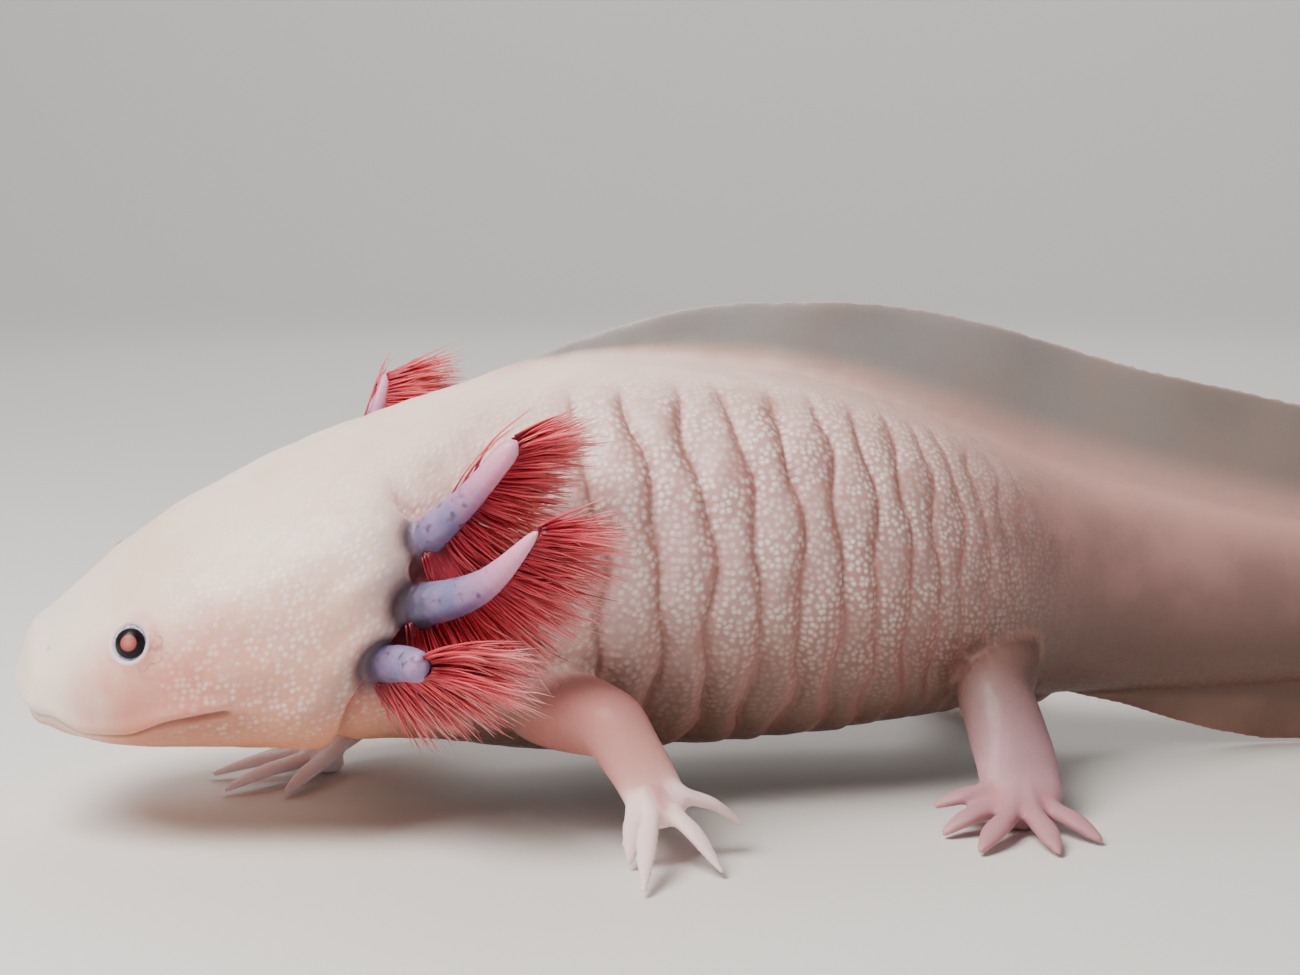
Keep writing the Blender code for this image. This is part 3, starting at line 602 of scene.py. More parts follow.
def soften(points, edges, rounds, corners=None):
    """Moves points halfway to the mean of their neighbours, or all the way but only in the valleys.

    The second is done when the faces' corners are given: a valley is where the mean lies outside.
    """
    count = np.bincount(edges.ravel(), minlength=len(points))[:, None]
    for _ in range(rounds):
        total = spread(edges[:, 0], points[edges[:, 1]], len(points))
        total += spread(edges[:, 1], points[edges[:, 0]], len(points))
        move = total / count - points
        if corners is None:
            move *= 0.5
        else:
            rise = (move * point_normals(points, corners)).sum(1)
            move *= ease(0.02 * VOXEL, 0.1 * VOXEL, rise)[:, None]
        points = points + move
    return points


corners = read(skin.data.loops, "vertex_index", 1, np.int32).reshape(-1, 4)
edges = read(skin.data.edges, "vertices", 2, np.int32)
skin_points = read(skin.data.vertices, "co", 3).astype(float)
skin_points = soften(skin_points, edges, VALLEY_ROUNDS, corners)
skin_points = soften(skin_points, edges, WHOLE_ROUNDS)
in_fin = ease(1.05, 1.2, depth(skin_points)) * ease(3.0, 1.5, abs(body_axes(skin_points)[0]))
in_fin *= ease(-34, -28, skin_points[:, 0])
skin_points += (soften(skin_points, edges, FIN_ROUNDS) - skin_points) * in_fin[:, None]
print("softened", len(skin_points), "points")

# %% [markdown]
# ## Carving the details
#
# Folds, mouth, nostrils, eye sockets and the edge of the gill cover are all small compared with the
# body, so each is a height added along the skin's normal. Each height is a formula of where a point
# lies on the body: how far along, how far round, or how far from a line or a point.

# %% Places on the body
GROOVES_START, FIRST_FOLD, FOLD_SHRINK = -17.5, 6.6, 0.93


def side_angle(points):
    """Degrees round the side: 90 on the back, 0 at the widest line and -90 under the belly."""
    across, up = in_section(points)
    return np.degrees(np.arctan2(up, abs(across)))


def fold_number(x, angle):
    """Whole at each groove. Folds shrink by a fixed share, so x = start + first (1 - s^n) / (1 - s)."""
    x = x + 2.2 * ease(5, 55, angle) * ease(20, -10, x) - 1.6 * ease(-15, -60, angle) * ease(0, 25, x)
    x = x + 0.45 * np.sin(np.radians(angle) * 7 + x * 0.5) + 0.25 * np.sin(np.radians(angle) * 13 - x * 0.9)
    left = np.clip(1 - (x - GROOVES_START) * (1 - FOLD_SHRINK) / FIRST_FOLD, 0.05, None)
    return np.log(left) / np.log(FOLD_SHRINK)


def fold_strength(x, angle):
    """Grooves are deep on the flank and fade before the back, the belly and the two ends."""
    return ease(-23, -17, x) * ease(42, 8, x) ** 0.8 * ease(66, 46, angle) * ease(-84, -55, angle)


def fold_height(points, angle):
    """Rolls, sin(pi t)^0.75; t is the place between grooves to the power 1.25, so the rear is steeper."""
    number = fold_number(points[:, 0], angle)
    gap = (number - np.round(number)) * FIRST_FOLD * FOLD_SHRINK**number
    place = (number - np.floor(number)) ** 1.25
    swell = np.sin(np.pi * place) ** 0.75
    size = (1.2 + 0.5 * lumps(points, 16.0, 6)) * FOLD_SHRINK**number
    return fold_strength(points[:, 0], angle) * (size * (swell - 0.6) - 0.28 * bump(gap, 0.4))


def lumps(points, size, seed):
    """Gentle unevenness: a mean of waves that run in random directions, each about as long as size."""
    rng = np.random.default_rng(seed)
    ways = unit(rng.normal(0, 1, (14, 3))) * rng.uniform(0.7, 1.4, (14, 1)) * 2 * np.pi / size
    return np.sin(points @ ways.T + rng.uniform(0, 2 * np.pi, 14)).mean(1)


# %% Gill cover, mouth, nostrils and eyes
# Place of the gill cover's free edge along the body by the side angle, and how far it stands out.
COVER_EDGE = {-90: -50.0, -50: -49.6, -25: -48.6, -3: -46.8, 8: -43.2, 17: -39.9, 26: -40.8, 33: -39.0,
              45: -41.4, 60: -42.5, 90: -43.0}
COVER_RISE = {-90: 0.5, -50: 0.7, -20: 1.2, 0: 1.5, 17: 1.5, 33: 1.4, 48: 0.7, 62: 0.1, 90: 0.0}
MOUTH_LINE = {-90: -0.8, -80: -1.0, -76: -2.6, -72: -2.6, -67: -1.0, -61: -0.4}
MOUTH_END = -60.5
FAR = 99.0
NOSTRIL = np.array([-79.7, -7.8, 21.8])
nostril_across, nostril_up = body_axes(NOSTRIL)
NOSTRILS = [NOSTRIL, body_place(NOSTRIL[0], -nostril_across, nostril_up)]
EYE_OPENING = 2.0  # radius of the round window in the skin
GAZE_START = 5.0  # a line of sight comes from the body's axis, this far behind the eye

eye_centres, gazes = {}, {}
for side in ("left", "right"):
    low, high = (np.array(corner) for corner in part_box(f"eye_{side}"))
    centre = (low + high) / 2 / MM - SHIFT
    axis_y, axis_z, *_ = measures(centre[0])
    eye_centres[side] = centre
    gazes[side] = unit(centre - (centre[0] + GAZE_START, axis_y, axis_z))


def cover_height(points, angle):
    """A flange that swells towards its free edge and drops to a shallow dip behind it."""
    past = points[:, 0] - edge_at(COVER_EDGE, angle)
    flange = ease(-11, -0.8, past) * ease(0.9, 0, past)
    return edge_at(COVER_RISE, angle) * (flange - 0.7 * bump(past - 1.9, 1.5))


def above_mouth(points):
    """Millimetres above the mouth line, on the head's own axes."""
    return body_axes(points)[1] - edge_at(MOUTH_LINE, points[:, 0])


def mouth_height(points):
    """A narrow groove, a lip that swells above it, and a lower jaw set back under it."""
    d = above_mouth(points)
    fade = ease(MOUTH_END + 0.8, MOUTH_END - 1.2, points[:, 0])
    cut = 0.35 + 0.35 * ease(-77, -70, points[:, 0])
    return fade * (0.35 * bump(d - 1.2, 0.9) - cut * bump(d, 0.4) - 0.4 * bump(d + 1.4, 1.2))


def from_line(points, start, direction):
    """Each point's distance from a line, and how far along the line it lies."""
    away = points - start
    forward = away @ direction
    return np.linalg.norm(away - forward[:, None] * direction, axis=1), forward


def from_eye(points):
    """Millimetres from the nearer eye's line of sight, or FAR behind both eyes."""
    closest = np.full(len(points), FAR)
    for side, centre in eye_centres.items():
        aside, forward = from_line(points, centre, gazes[side])
        closest = np.minimum(closest, np.where(forward > -2, aside, FAR))
    return closest


def eye_height(points):
    """A round window pressed in for the eyeball, a thin raised rim and a low brow."""
    r = from_eye(points)
    rim, brow = 0.25 * bump(r - EYE_OPENING - 0.4, 0.4), 0.35 * bump(r, 4.5)
    return rim + brow - 1.9 * ease(EYE_OPENING + 0.1, 1.5, r)


def from_nostril(points):
    """Millimetres from the nearer nostril."""
    return np.minimum(*[np.linalg.norm(points - place, axis=1) for place in NOSTRILS])


def nostril_height(points):
    """A small pit in a thin raised rim."""
    r = from_nostril(points)
    return 0.15 * bump(r - 1.1, 0.45) - 0.85 * bump(r, 0.6)


def nearest(points, centres, radii, chunk=4000):
    """For each point the index of the nearest tube section and the gap to its surface."""
    index, gap = np.empty(len(points), int), np.empty(len(points))
    for first in range(0, len(points), chunk):
        part = points[first:first + chunk]
        away = np.linalg.norm(part[:, None] - centres[None], axis=2) - radii
        index[first:first + chunk] = away.argmin(1)
        gap[first:first + chunk] = away.min(1)
    return index, gap


def tube_sections(grid, count):
    """Middle and mean radius of some rings of a tube, and their places from 0 to 1."""
    rows = np.linspace(0, len(grid) - 1, count).round().astype(int)
    middle = grid[rows].mean(1)
    radius = np.linalg.norm(grid[rows] - middle[:, None], axis=2).mean(1)
    return middle, radius, rows / (len(grid) - 1)


def gather(sections):
    """Joins rows of arrays, column by column."""
    return [np.concatenate(columns) for columns in zip(*sections)]


SHORT_STALK = 0.62  # the third stalks' places stop here, short of the pink tip
STALK_ROOTS = (-52, -30)  # places along the body between which the stalks leave it
stalk_parts = []
for name, shape in stalks.items():
    middle, radius, place = tube_sections(shape, 25)
    stalk_parts.append((middle, radius, place * (SHORT_STALK if name.endswith("3") else 1.0)))
stalk_middle, stalk_radius, stalk_place = gather(stalk_parts)

# %% Carve
normals = point_normals(skin_points, corners)
angle = side_angle(skin_points)
on_body = ease(1.14, 1.05, depth(skin_points))
axis_y, axis_z, *_ = measures(skin_points[:, 0])
outward = unit(skin_points - np.stack([skin_points[:, 0], axis_y, axis_z], 1))
on_wall = ease(0.3, 0.75, (normals * outward).sum(1))  # not on the stalks and limbs that stand out
near = (skin_points[:, 0] > STALK_ROOTS[0]) & (skin_points[:, 0] < STALK_ROOTS[1])
off_stalks = np.ones(len(skin_points))
off_stalks[near] = ease(-0.2, 1.7, nearest(skin_points[near], stalk_middle, stalk_radius)[1])
height = on_wall * (off_stalks * cover_height(skin_points, angle) + fold_height(skin_points, angle))
height += mouth_height(skin_points) + eye_height(skin_points) + nostril_height(skin_points)
uneven = 0.45 * lumps(skin_points, 9.0, 4) + 0.2 * lumps(skin_points, 3.5, 5)
height += uneven * ease(-76, -62, skin_points[:, 0]) * ease(60, 30, skin_points[:, 0])
skin_points += normals * (on_body * height)[:, None]
skin_points[:, 2] = np.maximum(skin_points[:, 2], 0)  # soles and the low fin edge lie flat on the floor
print("deepest cut and highest swell:", round(height.min(), 2), round(height.max(), 2), "mm")

# %% Thin the mesh where it is plain
set_points(skin.data, skin_points)
modify(skin, "DECIMATE", ratio=min(1.0, MOST_TRIANGLES / (2 * len(corners))))
skin.data.update()
skin_points = read(skin.data.vertices, "co", 3).astype(float)
print("skin triangles:", triangle_count(skin.data))

# %% [markdown]
# ## Where each colour goes
#
# The skin's colours follow its anatomy: pale on the back, pink on the flank, grey in the fins, lilac
# in the gill stalks. Painted shade follows its shape too, darker in its hollows and underneath.
# Blender materials can read numbers stored on points, so each region becomes one named number,
# mostly from 0 to 1, and a few more hold distances, such as that from the mouth line. A pattern
# drawn from a smooth distance stays sharp, even where the mesh is coarse.

# %% Nearest limb and stalk
limb_parts = []
for name, shapes in limbs.items():
    limb_parts.append(tube_sections(shapes[0], 30))
    for one in shapes[1:1 + len(LIMBS[name]["digits"])]:
        middle, radius, place = tube_sections(one, 14)
        limb_parts.append((middle, radius, 1 + place))
limb_middle, limb_radius, limb_place = gather(limb_parts)

limb_index, limb_gap = nearest(skin_points, limb_middle, limb_radius)
stalk_index, stalk_gap = nearest(skin_points, stalk_middle, stalk_radius)

# %% Regions and distances
HOLLOW_SCALE = 0.12  # millimetres that count as fully hollow
HOLLOW_ROUNDS, LIMB_ROUNDS = 14, 45
x, height_z = skin_points[:, 0], skin_points[:, 2]
angle = side_angle(skin_points)
deep = depth(skin_points)
top, bottom = back_top(x), belly_bottom(x)
over_back = (height_z - top) / np.maximum(edge_at(UPPER_FIN_EDGE, x) - top, 1)
under_belly = (bottom - height_z) / np.maximum(bottom - edge_at(LOWER_FIN_EDGE, x), 1)
in_blade = ease(3.6, 2.2, abs(body_axes(skin_points)[0])) * ease(1.0, 1.08, deep)
skin_edges = read(skin.data.edges, "vertices", 2, np.int32)
# How hollow the skin is; the skin material paints shade into the hollows of the flank and limbs.
to_mean = soften(skin_points, skin_edges, HOLLOW_ROUNDS) - skin_points
hollow = (to_mean * read(skin.data.vertex_normals, "vector", 3)).sum(1) / HOLLOW_SCALE

limb = ease(3.0, 0.6, limb_gap) * ease(1.03, 1.28, deep)
reach = limb_place[limb_index]
limb, reach, _ = soften(np.stack([limb, reach, reach], 1), skin_edges, LIMB_ROUNDS).T
stalk = ease(1.3, 0.3, stalk_gap) * ease(0.98, 1.05, deep) * ease(-50, -46, x) * ease(-10, -18, x)
plain = (1 - limb) * (1 - stalk)
flank = ease(1.3, 1.1, deep) * ease(70, 55, angle) * ease(-85, -70, angle) * ease(-52, -42, x)
sides = ease(-71, -62, x) * ease(50, 8, x) * ease(80, 48, angle) * ease(-60, -8, angle)
off_throat = 1 - ease(-48, -56, x) * ease(2, -52, angle)
above_lips = above_mouth(skin_points)
off_lips = ease(0.5, 1.8, abs(above_lips) + 2 * ease(MOUTH_END, MOUTH_END + 2, x))
numbers = {
    "side": angle / 90,
    "along": (x - SNOUT_X) / (FIN_END - SNOUT_X),
    "hollow": np.clip(hollow, -1, 1) * np.maximum(ease(0.5, 0.95, limb), flank),
    "upper_fin": np.clip(over_back, 0, 1) * in_blade * ease(-34, -16, x) * (1 - stalk),
    "lower_fin": np.clip(under_belly, 0, 1) * in_blade * ease(50, 58, x) * (1 - limb),
    "limb": limb,
    "limb_place": reach,
    "stalk": stalk,
    "stalk_place": stalk_place[stalk_index],
    "stalk_shade": ease(1.7, 0.1, stalk_gap) * ease(0.5, 0.34, stalk_place[stalk_index]),
    "fold": fold_number(x, angle),
    "folds": fold_strength(x, angle) * plain * ease(1.25, 1.1, deep),
    "mouth": above_lips,
    "mouth_fade": ease(MOUTH_END + 0.8, MOUTH_END - 0.8, x) * ease(1.2, 1.0, deep),
    "eye": from_eye(skin_points),
    "nostril": from_nostril(skin_points),
    "cover": np.clip(x - edge_at(COVER_EDGE, angle), -20, 20),
    "dots": sides * plain * ease(1.3, 1.15, deep) * off_throat * off_lips,
}
for name, values in numbers.items():
    store(skin.data, name, values)

# The dots' own map: whole numbers are one dot apart, along the body and round it. The way round is the
# arc of an ellipse, worked out as a sum of ARC_STEPS short pieces.
ARC_STEPS = 12
DOT_DENSITY = {-84: 1.3, -55: 1.25, -40: 1.15, -25: 1.05, 5: 1.15, 25: 1.3, 45: 1.45, 160: 1.45}
fine_x = np.linspace(SNOUT_X, FIN_END, 500)
counted = np.cumsum(edge_at(DOT_DENSITY, fine_x)) * (fine_x[1] - fine_x[0])
_, _, half, above, below, *_ = measures(x)
turn = np.radians(angle)[:, None] * (np.arange(ARC_STEPS) + 0.5) / ARC_STEPS
tall = np.where(angle > 0, above, below)[:, None]
arc = np.radians(angle) * np.hypot(half[:, None] * np.sin(turn), tall * np.cos(turn)).mean(1)
place = np.stack([np.interp(x, fine_x, counted), arc * edge_at(DOT_DENSITY, x), 0 * x], 1)
store(skin.data, "place", place, "FLOAT_VECTOR", "vector")
print("numbers on the skin:", ", ".join(numbers))

set_points(skin.data, to_frame(skin_points))
shade_smooth(skin.data)
skin.data.update()

# %% [markdown]
# ## Writing materials as short lines
#
# A material is a graph of nodes. These helpers make a node, give it values and return its output,
# so that a graph reads like a formula. A colour is given as it looks on a screen, 0 to 255, and
# turned into the linear light that the renderer needs.

# %% Node helpers
def paint(red, green, blue):
    """Screen colour to linear light: (c / 12.92) in the dark, ((c + 0.055) / 1.055)^2.4 elsewhere."""
    c = np.array([red, green, blue]) / 255
    return (*np.where(c <= 0.04045, c / 12.92, ((c + 0.055) / 1.055) ** 2.4), 1.0)


class Graph:
    """The nodes of one material. Most methods add a node and return its output."""

    def __init__(self, name):
        self.material = bpy.data.materials.new(name)
        self.material.use_nodes = True
        self.tree = self.material.node_tree
        self.shader = self.tree.nodes["Principled BSDF"]
        self.colour = None

    def give(self, socket, value):
        if isinstance(value, bpy.types.NodeSocket):
            self.tree.links.new(value, socket)
        else:
            socket.default_value = value

    def add(self, kind, inputs=(), **settings):
        """A new node with its settings and its inputs, which are named or numbered; returns its outputs."""
        made = self.tree.nodes.new("ShaderNode" + kind)
        for name, value in settings.items():
            setattr(made, name, value)
        for key, value in dict(inputs).items():
            self.give(made.inputs[key], value)
        return made.outputs

    def number(self, name, output="Fac"):
        return self.add("Attribute", attribute_name=name)[output]

    def math(self, operation, *values):
        return self.add("Math", enumerate(values), operation=operation)[0]

    def times(self, *values):
        result = values[0]
        for value in values[1:]:
            result = self.math("MULTIPLY", result, value)
        return result

    def ease(self, low, high, value, start=0.0, end=1.0):
        """start below low, end above high and a smooth step between; low may lie above high."""
        if low > high:
            low, high, start, end = high, low, end, start
        inputs = enumerate((value, low, high, start, end))
        return self.add("MapRange", inputs, interpolation_type="SMOOTHSTEP")[0]

    def bell(self, value, middle, width):
        """1 at the middle and 0 a width away."""
        away = self.math("ABSOLUTE", self.math("SUBTRACT", value, middle))
        return self.ease(width, 0.0, away)

    def mix(self, under, over, *shares):
        """Blends two colours by the product of the shares; a colour is an output or three numbers."""
        under, over = (paint(*c) if isinstance(c, tuple) else c for c in (under, over))
        return self.add("Mix", {0: self.times(*shares), 6: under, 7: over}, data_type="RGBA")[2]

    def lay(self, over, *shares):
        """Lays a colour over the material's own, by the product of the shares."""
        self.colour = self.mix(self.colour, over, *shares)

    def noise(self, scale, detail):
        """Cloudy noise; the Mapping node lets the scale pass the noise node's limit of 1000."""
        inputs = {"Vector": self.add("TexCoord")["Object"], "Scale": (scale, scale, scale)}
        place = self.add("Mapping", inputs)[0]
        return self.add("TexNoise", {"Vector": place, "Scale": 1.0, "Detail": detail})[0]

    def cells(self, randomness, where):
        """Distance to the nearest of a field of scattered dots on a plane, and a random tone of that dot."""
        inputs = {"Vector": where, "Scale": 1.0, "Randomness": randomness}
        made = self.add("TexVoronoi", inputs, voronoi_dimensions="2D")
        return made["Distance"], made["Color"]

    def bump(self, height, distance, under=None):
        """A tilted normal for the shader; under is an earlier bump to build on."""
        inputs = {"Distance": distance, "Height": height}
        if under:
            inputs["Normal"] = under
        return self.add("Bump", inputs)[0]

    def finish(self, **inputs):
        for name, value in {"Base_Color": self.colour, **inputs}.items():
            self.give(self.shader.inputs[name.replace("_", " ")], value)
        return self.material


# %% [markdown]
# ## Living skin
#
# The skin of a pale axolotl is wet and lets light in: under a creamy surface lies pink flesh. Light
# that enters is scattered, red farthest, so the shader's subsurface radius is longest in red. Over
# the flank runs a field of milky glands. The grooves between the folds are reddish where the blood
# below shows, and painted shade deepens them; painted shade also darkens the skin underneath,
# towards the tail and in its hollows.

# %% Skin colours
def body_colours(g, side, along, blotch):
    """Cream on the head and back and pink on the flank. Painted shade makes it brown below and low on the
    head, and deeper towards the tail.
    """
    # Painted shade: the back and the flank deepen towards the tail; the blotches are the skin's own.
    back = g.mix((240, 211, 199), (192, 150, 143), g.ease(0.26, 0.58, along))
    back = g.mix(back, (222, 168, 154), blotch, 0.3)
    flank = g.mix((232, 198, 197), (142, 107, 103), g.ease(0.24, 0.51, along))
    flank = g.mix(flank, (182, 134, 130), blotch, 0.5)
    # Painted shade: brown under the body, reaching higher up the flank towards the tail.
    low = g.mix((108, 80, 69), (104, 72, 63), g.ease(0.3, 0.6, along))
    sunk = g.math("SUBTRACT", side, g.ease(0.26, 0.42, along, 0.0, 0.18))
    g.colour = g.mix(flank, low, g.ease(0.12, -0.58, sunk))
    g.lay(back, g.ease(0.2, 0.8, side))
    head = g.mix((224, 166, 147), (250, 223, 206), g.ease(0.05, 0.66, side))
    head = g.mix(head, (240, 196, 178), blotch, 0.35)
    # Painted shade with a warm bounce: brown low on the head's sides.
    head = g.mix(head, (202, 134, 102), g.ease(0.26, -0.3, side))
    head = g.mix(head, (246, 226, 213), g.ease(0.055, 0.02, along), g.ease(-0.6, 0.0, side))
    g.lay(head, g.ease(0.23, 0.13, along))


def head_colours(g, side, along):
    """Rosy cheeks, vessels and a pale rim round the eye, the mouth's corner, and painted shade in the mouth's
    line and the nostrils.
    """
    eye, noise = g.number("eye"), g.noise(190, 4)
    cheek = g.times(g.ease(21.0, 5.0, eye), g.ease(0.62, 0.18, side), g.ease(-0.4, 0.1, side))
    g.lay((226, 136, 126), cheek, g.ease(0.3, 0.62, noise, 0.15, 1.0), g.ease(0.012, 0.042, along), 0.74)
    vessel = g.times(g.bell(g.noise(430, 3), 0.5, 0.075), g.ease(5.6, 3.0, eye), g.ease(0.5, 0.36, side))
    g.lay((138, 40, 44), vessel, g.ease(0.052, 0.068, along), 0.62)
    g.lay((196, 104, 98), g.ease(4.6, 2.6, eye), g.ease(0.05, 0.064, along), 0.5)
    g.lay((206, 210, 230), g.ease(2.62, 2.15, eye), 0.8)
    mouth = g.number("mouth")
    corner = g.times(g.ease(0.04, 0.072, along), g.ease(0.116, 0.1, along))
    g.lay((186, 122, 98), g.ease(0.3, -0.5, mouth), g.ease(-5.0, -2.2, mouth), corner, 0.85)
    # Painted shade: a dark line in the crease of the mouth.
    line = g.times(g.ease(0.45, 0.05, g.math("ABSOLUTE", mouth)), g.number("mouth_fade"))
    g.lay((142, 84, 70), line, g.ease(0.02, 0.06, along, 0.25, 0.8))
    # Painted shade in the nostrils' pits.
    g.lay((150, 88, 80), g.ease(1.1, 0.3, g.number("nostril")), 0.8)


def groove_colours(g, side, soft):
    """Painted shade over the grooves' own reddish colour: a red shade on the steep rear side of each fold,
    strongest high up, a softer band at each groove and a thin dark line in it.
    """
    number, strength = g.number("fold"), g.number("folds")
    from_groove = g.math("PINGPONG", number, 0.5)
    rear = g.ease(0.5, 0.97, g.math("FRACT", number))
    # Painted shade on each fold's rear slope, then in and along each groove.
    g.lay((178, 112, 102), rear, g.ease(-0.5, 0.35, side, 0.45, 0.9), strength)
    g.lay((150, 92, 86), g.ease(0.16, 0.0, from_groove), strength, 0.5)
    g.lay((96, 50, 46), g.ease(0.05, 0.0, from_groove), g.ease(0.38, 0.6, soft, 0.25, 0.85), strength)
    return from_groove


def dot_colours(g, side, along, soft, from_groove):
    """A field of milky dots, fainter in the grooves, on skin that is a little darker between them. Low on the
    side the dots are duller: painted shade.
    """
    away, chance = g.cells(0.8, g.number("place", "Vector"))
    dots = g.number("dots")
    milky = g.ease(0.25, 0.65, chance, g.ease(0.14, 0.24, along, 0.12, 0.68), 1.0)
    dot = g.times(g.ease(0.6, 0.08, away), milky, dots)
    dot = g.times(dot, g.ease(0.0, 0.12, from_groove, 0.45, 1.0), g.ease(0.3, 0.62, soft, 0.3, 1.0))
    g.lay((186, 140, 132), dots, g.ease(0.14, 0.24, along), 0.3)
    # Painted shade: the dots are duller lower on the side and brightest high up, where the light falls.
    g.lay(g.mix((204, 172, 158), (255, 246, 240), g.ease(-0.4, 0.12, side)), dot, 0.66)
    return dot


def cover_colours(g, side):
    """The gill cover's edge is greyer than the cheek; deep shade lies behind it and round the stalks."""
    cover = g.number("cover")
    g.lay((132, 117, 119), g.ease(-8, -1, cover), g.ease(0.6, -0.2, cover), g.bell(side, 0.22, 0.5), 0.88)
    g.lay((150, 22, 40), g.ease(0.1, 0.8, cover), g.ease(10.0, 3.5, cover), g.bell(side, 0.12, 0.5), 0.95)
    g.lay((84, 66, 78), g.number("stalk_shade"), 0.72)


def limb_colours(g, along, hollow):
    """Rose arms and browner legs, paler in hand and foot. Painted shade darkens each limb near the body and
    gives pink valleys between the bones.

    The far arm, which stands farthest forward, is the palest: painted light that lifts it out of the head's
    shadow.
    """
    reach = g.number("limb_place")
    leg = g.ease(0.38, 0.45, along)
    # Painted shade: each limb is darker near the body.
    upper = g.mix((176, 108, 100), (112, 83, 80), leg)
    lower = g.mix((212, 152, 147), (188, 144, 152), leg)
    flesh = g.mix(upper, lower, g.ease(0.35, 0.85, g.math("SUBTRACT", reach, g.times(leg, 0.1))))
    flesh = g.mix(flesh, g.mix((246, 212, 210), (177, 127, 134), leg), g.ease(0.72, 1.3, reach))
    # Painted shade: pink in the hollows between the bones.
    flesh = g.mix(flesh, (204, 124, 134), g.ease(0.05, 0.9, hollow), g.ease(0.6, 0.8, reach), 0.5)
    # Painted light: the far arm, farthest forward, is paler.
    flesh = g.mix(flesh, (250, 236, 246), g.ease(0.19, 0.15, along), g.ease(0.35, 0.9, reach), 0.85)
    g.lay(flesh, g.number("limb"))


def stalk_colours(g):
    """Lavender with blue-grey clouds and dark flecks near the root, a root darkened by painted shade, and a
    pink tip.
    """
    place = g.number("stalk_place")
    lilac = g.mix((186, 134, 174), (108, 116, 158), g.ease(0.82, 0.45, place, 0.0, 0.65))
    lilac = g.mix(lilac, (92, 106, 152), g.ease(0.36, 0.7, g.noise(330, 3)), g.ease(0.8, 0.5, place), 0.7)
    lilac = g.mix(lilac, (74, 60, 78), g.ease(0.58, 0.72, g.noise(700, 1)), g.ease(0.9, 0.6, place), 0.75)
    # Painted shade: the stalk's root, where it leaves the head, is dark.
    lilac = g.mix(lilac, (66, 54, 74), g.ease(0.5, 0.3, place))
    lilac = g.mix(lilac, (240, 164, 194), g.ease(0.6, 1.0, place))
    g.lay(lilac, g.number("stalk"))


def fin_colours(g, along):
    """Smoky grey above with beige clouds and a paler edge, over a pink root line, and tan below."""
    clouds = g.ease(0.42, 0.7, g.noise(70, 3))
    upper = g.number("upper_fin")
    grey = g.mix((157, 155, 156), (132, 119, 113), g.ease(0.3, 0.7, along))
    grey = g.mix(grey, (152, 128, 118), clouds, 0.4)
    grey = g.mix(grey, (190, 178, 170), g.ease(0.94, 1.0, upper))
    g.lay((202, 166, 156), g.ease(0.0, 0.14, upper), 0.25)
    g.lay(grey, g.ease(0.03, 0.42, upper))
    g.lay(g.mix((138, 102, 88), (120, 84, 72), clouds), g.ease(0.02, 0.4, g.number("lower_fin")))


# %% Skin material
def skin_material():
    """The colours in the order in which they cover each other, then the surface."""
    g = Graph("axolotl_skin")
    side, along, hollow = g.number("side"), g.number("along"), g.number("hollow")
    soft, fine = g.noise(220, 3), g.noise(1300, 2)
    body_colours(g, side, along, g.ease(0.35, 0.7, g.noise(120, 4)))
    head_colours(g, side, along)
    from_groove = groove_colours(g, side, soft)
    # Painted shade in the skin's hollows, where the limbs meet the body and between the folds, darker low on
    # the side.
    valley = g.mix((140, 100, 88), (196, 128, 116), g.ease(-0.45, 0.05, side))
    g.lay(valley, g.ease(0.1, 0.9, hollow), 0.45)
    dot = dot_colours(g, side, along, soft, from_groove)
    cover_colours(g, side)
    limb_colours(g, along, hollow)
    stalk_colours(g)
    fin_colours(g, along)
    normal = g.bump(fine, 0.00005)
    normal = g.bump(g.times(dot, g.ease(0.16, 0.26, along, 0.25, 1.0)), 0.00012, normal)
    rough = g.math("ADD", g.ease(0.3, 0.7, fine, 0.38, 0.56), g.times(g.number("limb"), 0.2))
    return g.finish(Normal=normal, Roughness=rough,
                    Subsurface_Weight=0.35, Subsurface_Radius=(1.0, 0.42, 0.28), Subsurface_Scale=0.0022,
                    Coat_Weight=0.12, Coat_Roughness=0.22, Specular_IOR_Level=0.45)


skin.data.materials.clear()
skin.data.materials.append(skin_material())
FLESH_NODES = ["head", "lower_jaw", "neck", "trunk", "tail_base", "tail_middle", "tail_tip", "dorsal_fin",
               "tail_fin_upper", "tail_fin_lower"]
for side in ("left", "right"):
    FLESH_NODES += [f"{part}_{side}" for part in ("upper_arm", "forearm", "hand", "thigh", "shank", "foot")]
    FLESH_NODES += [f"gill_stalk_{side}_{number}" for number in GILLS]
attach(skin, "root")
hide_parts(*FLESH_NODES)
print("the skin stands for", len(FLESH_NODES), "solids")

# %% [markdown]
# ## Eyes
#
# An axolotl's eye is a small ball with no lid: a clear dome over a dark ring, a rosy pupil that
# glows with the blood behind it, and a pale metallic rim. The ball here is turned on its line of
# sight, and one number, the distance from that line, drives its colours.

# %% Eyeballs
EYE_RADIUS = 2.3
RING_OUTER, PUPIL_EDGE = 1.72, 0.92


def eyeball(side):
    """A ball whose front bulges: radius times 1 + 0.05 exp(-(angle / 35 degrees)^2)."""
    gaze, centre = gazes[side], eye_centres[side]
    aside = unit(np.cross(gaze, (0, 0, 1)))
    above = np.cross(aside, gaze)
    tilt = np.linspace(0, np.pi, 64)[1:-1, None]
    turn = np.linspace(0, 2 * np.pi, 72, endpoint=False)[None]
    radius = EYE_RADIUS * (1 + 0.05 * bump(np.degrees(tilt), 35))
    ring = radius * np.sin(tilt)
    return (centre + (radius * np.cos(tilt) + 0 * turn)[..., None] * gaze
            + (ring * np.cos(turn))[..., None] * aside + (ring * np.sin(turn))[..., None] * above)


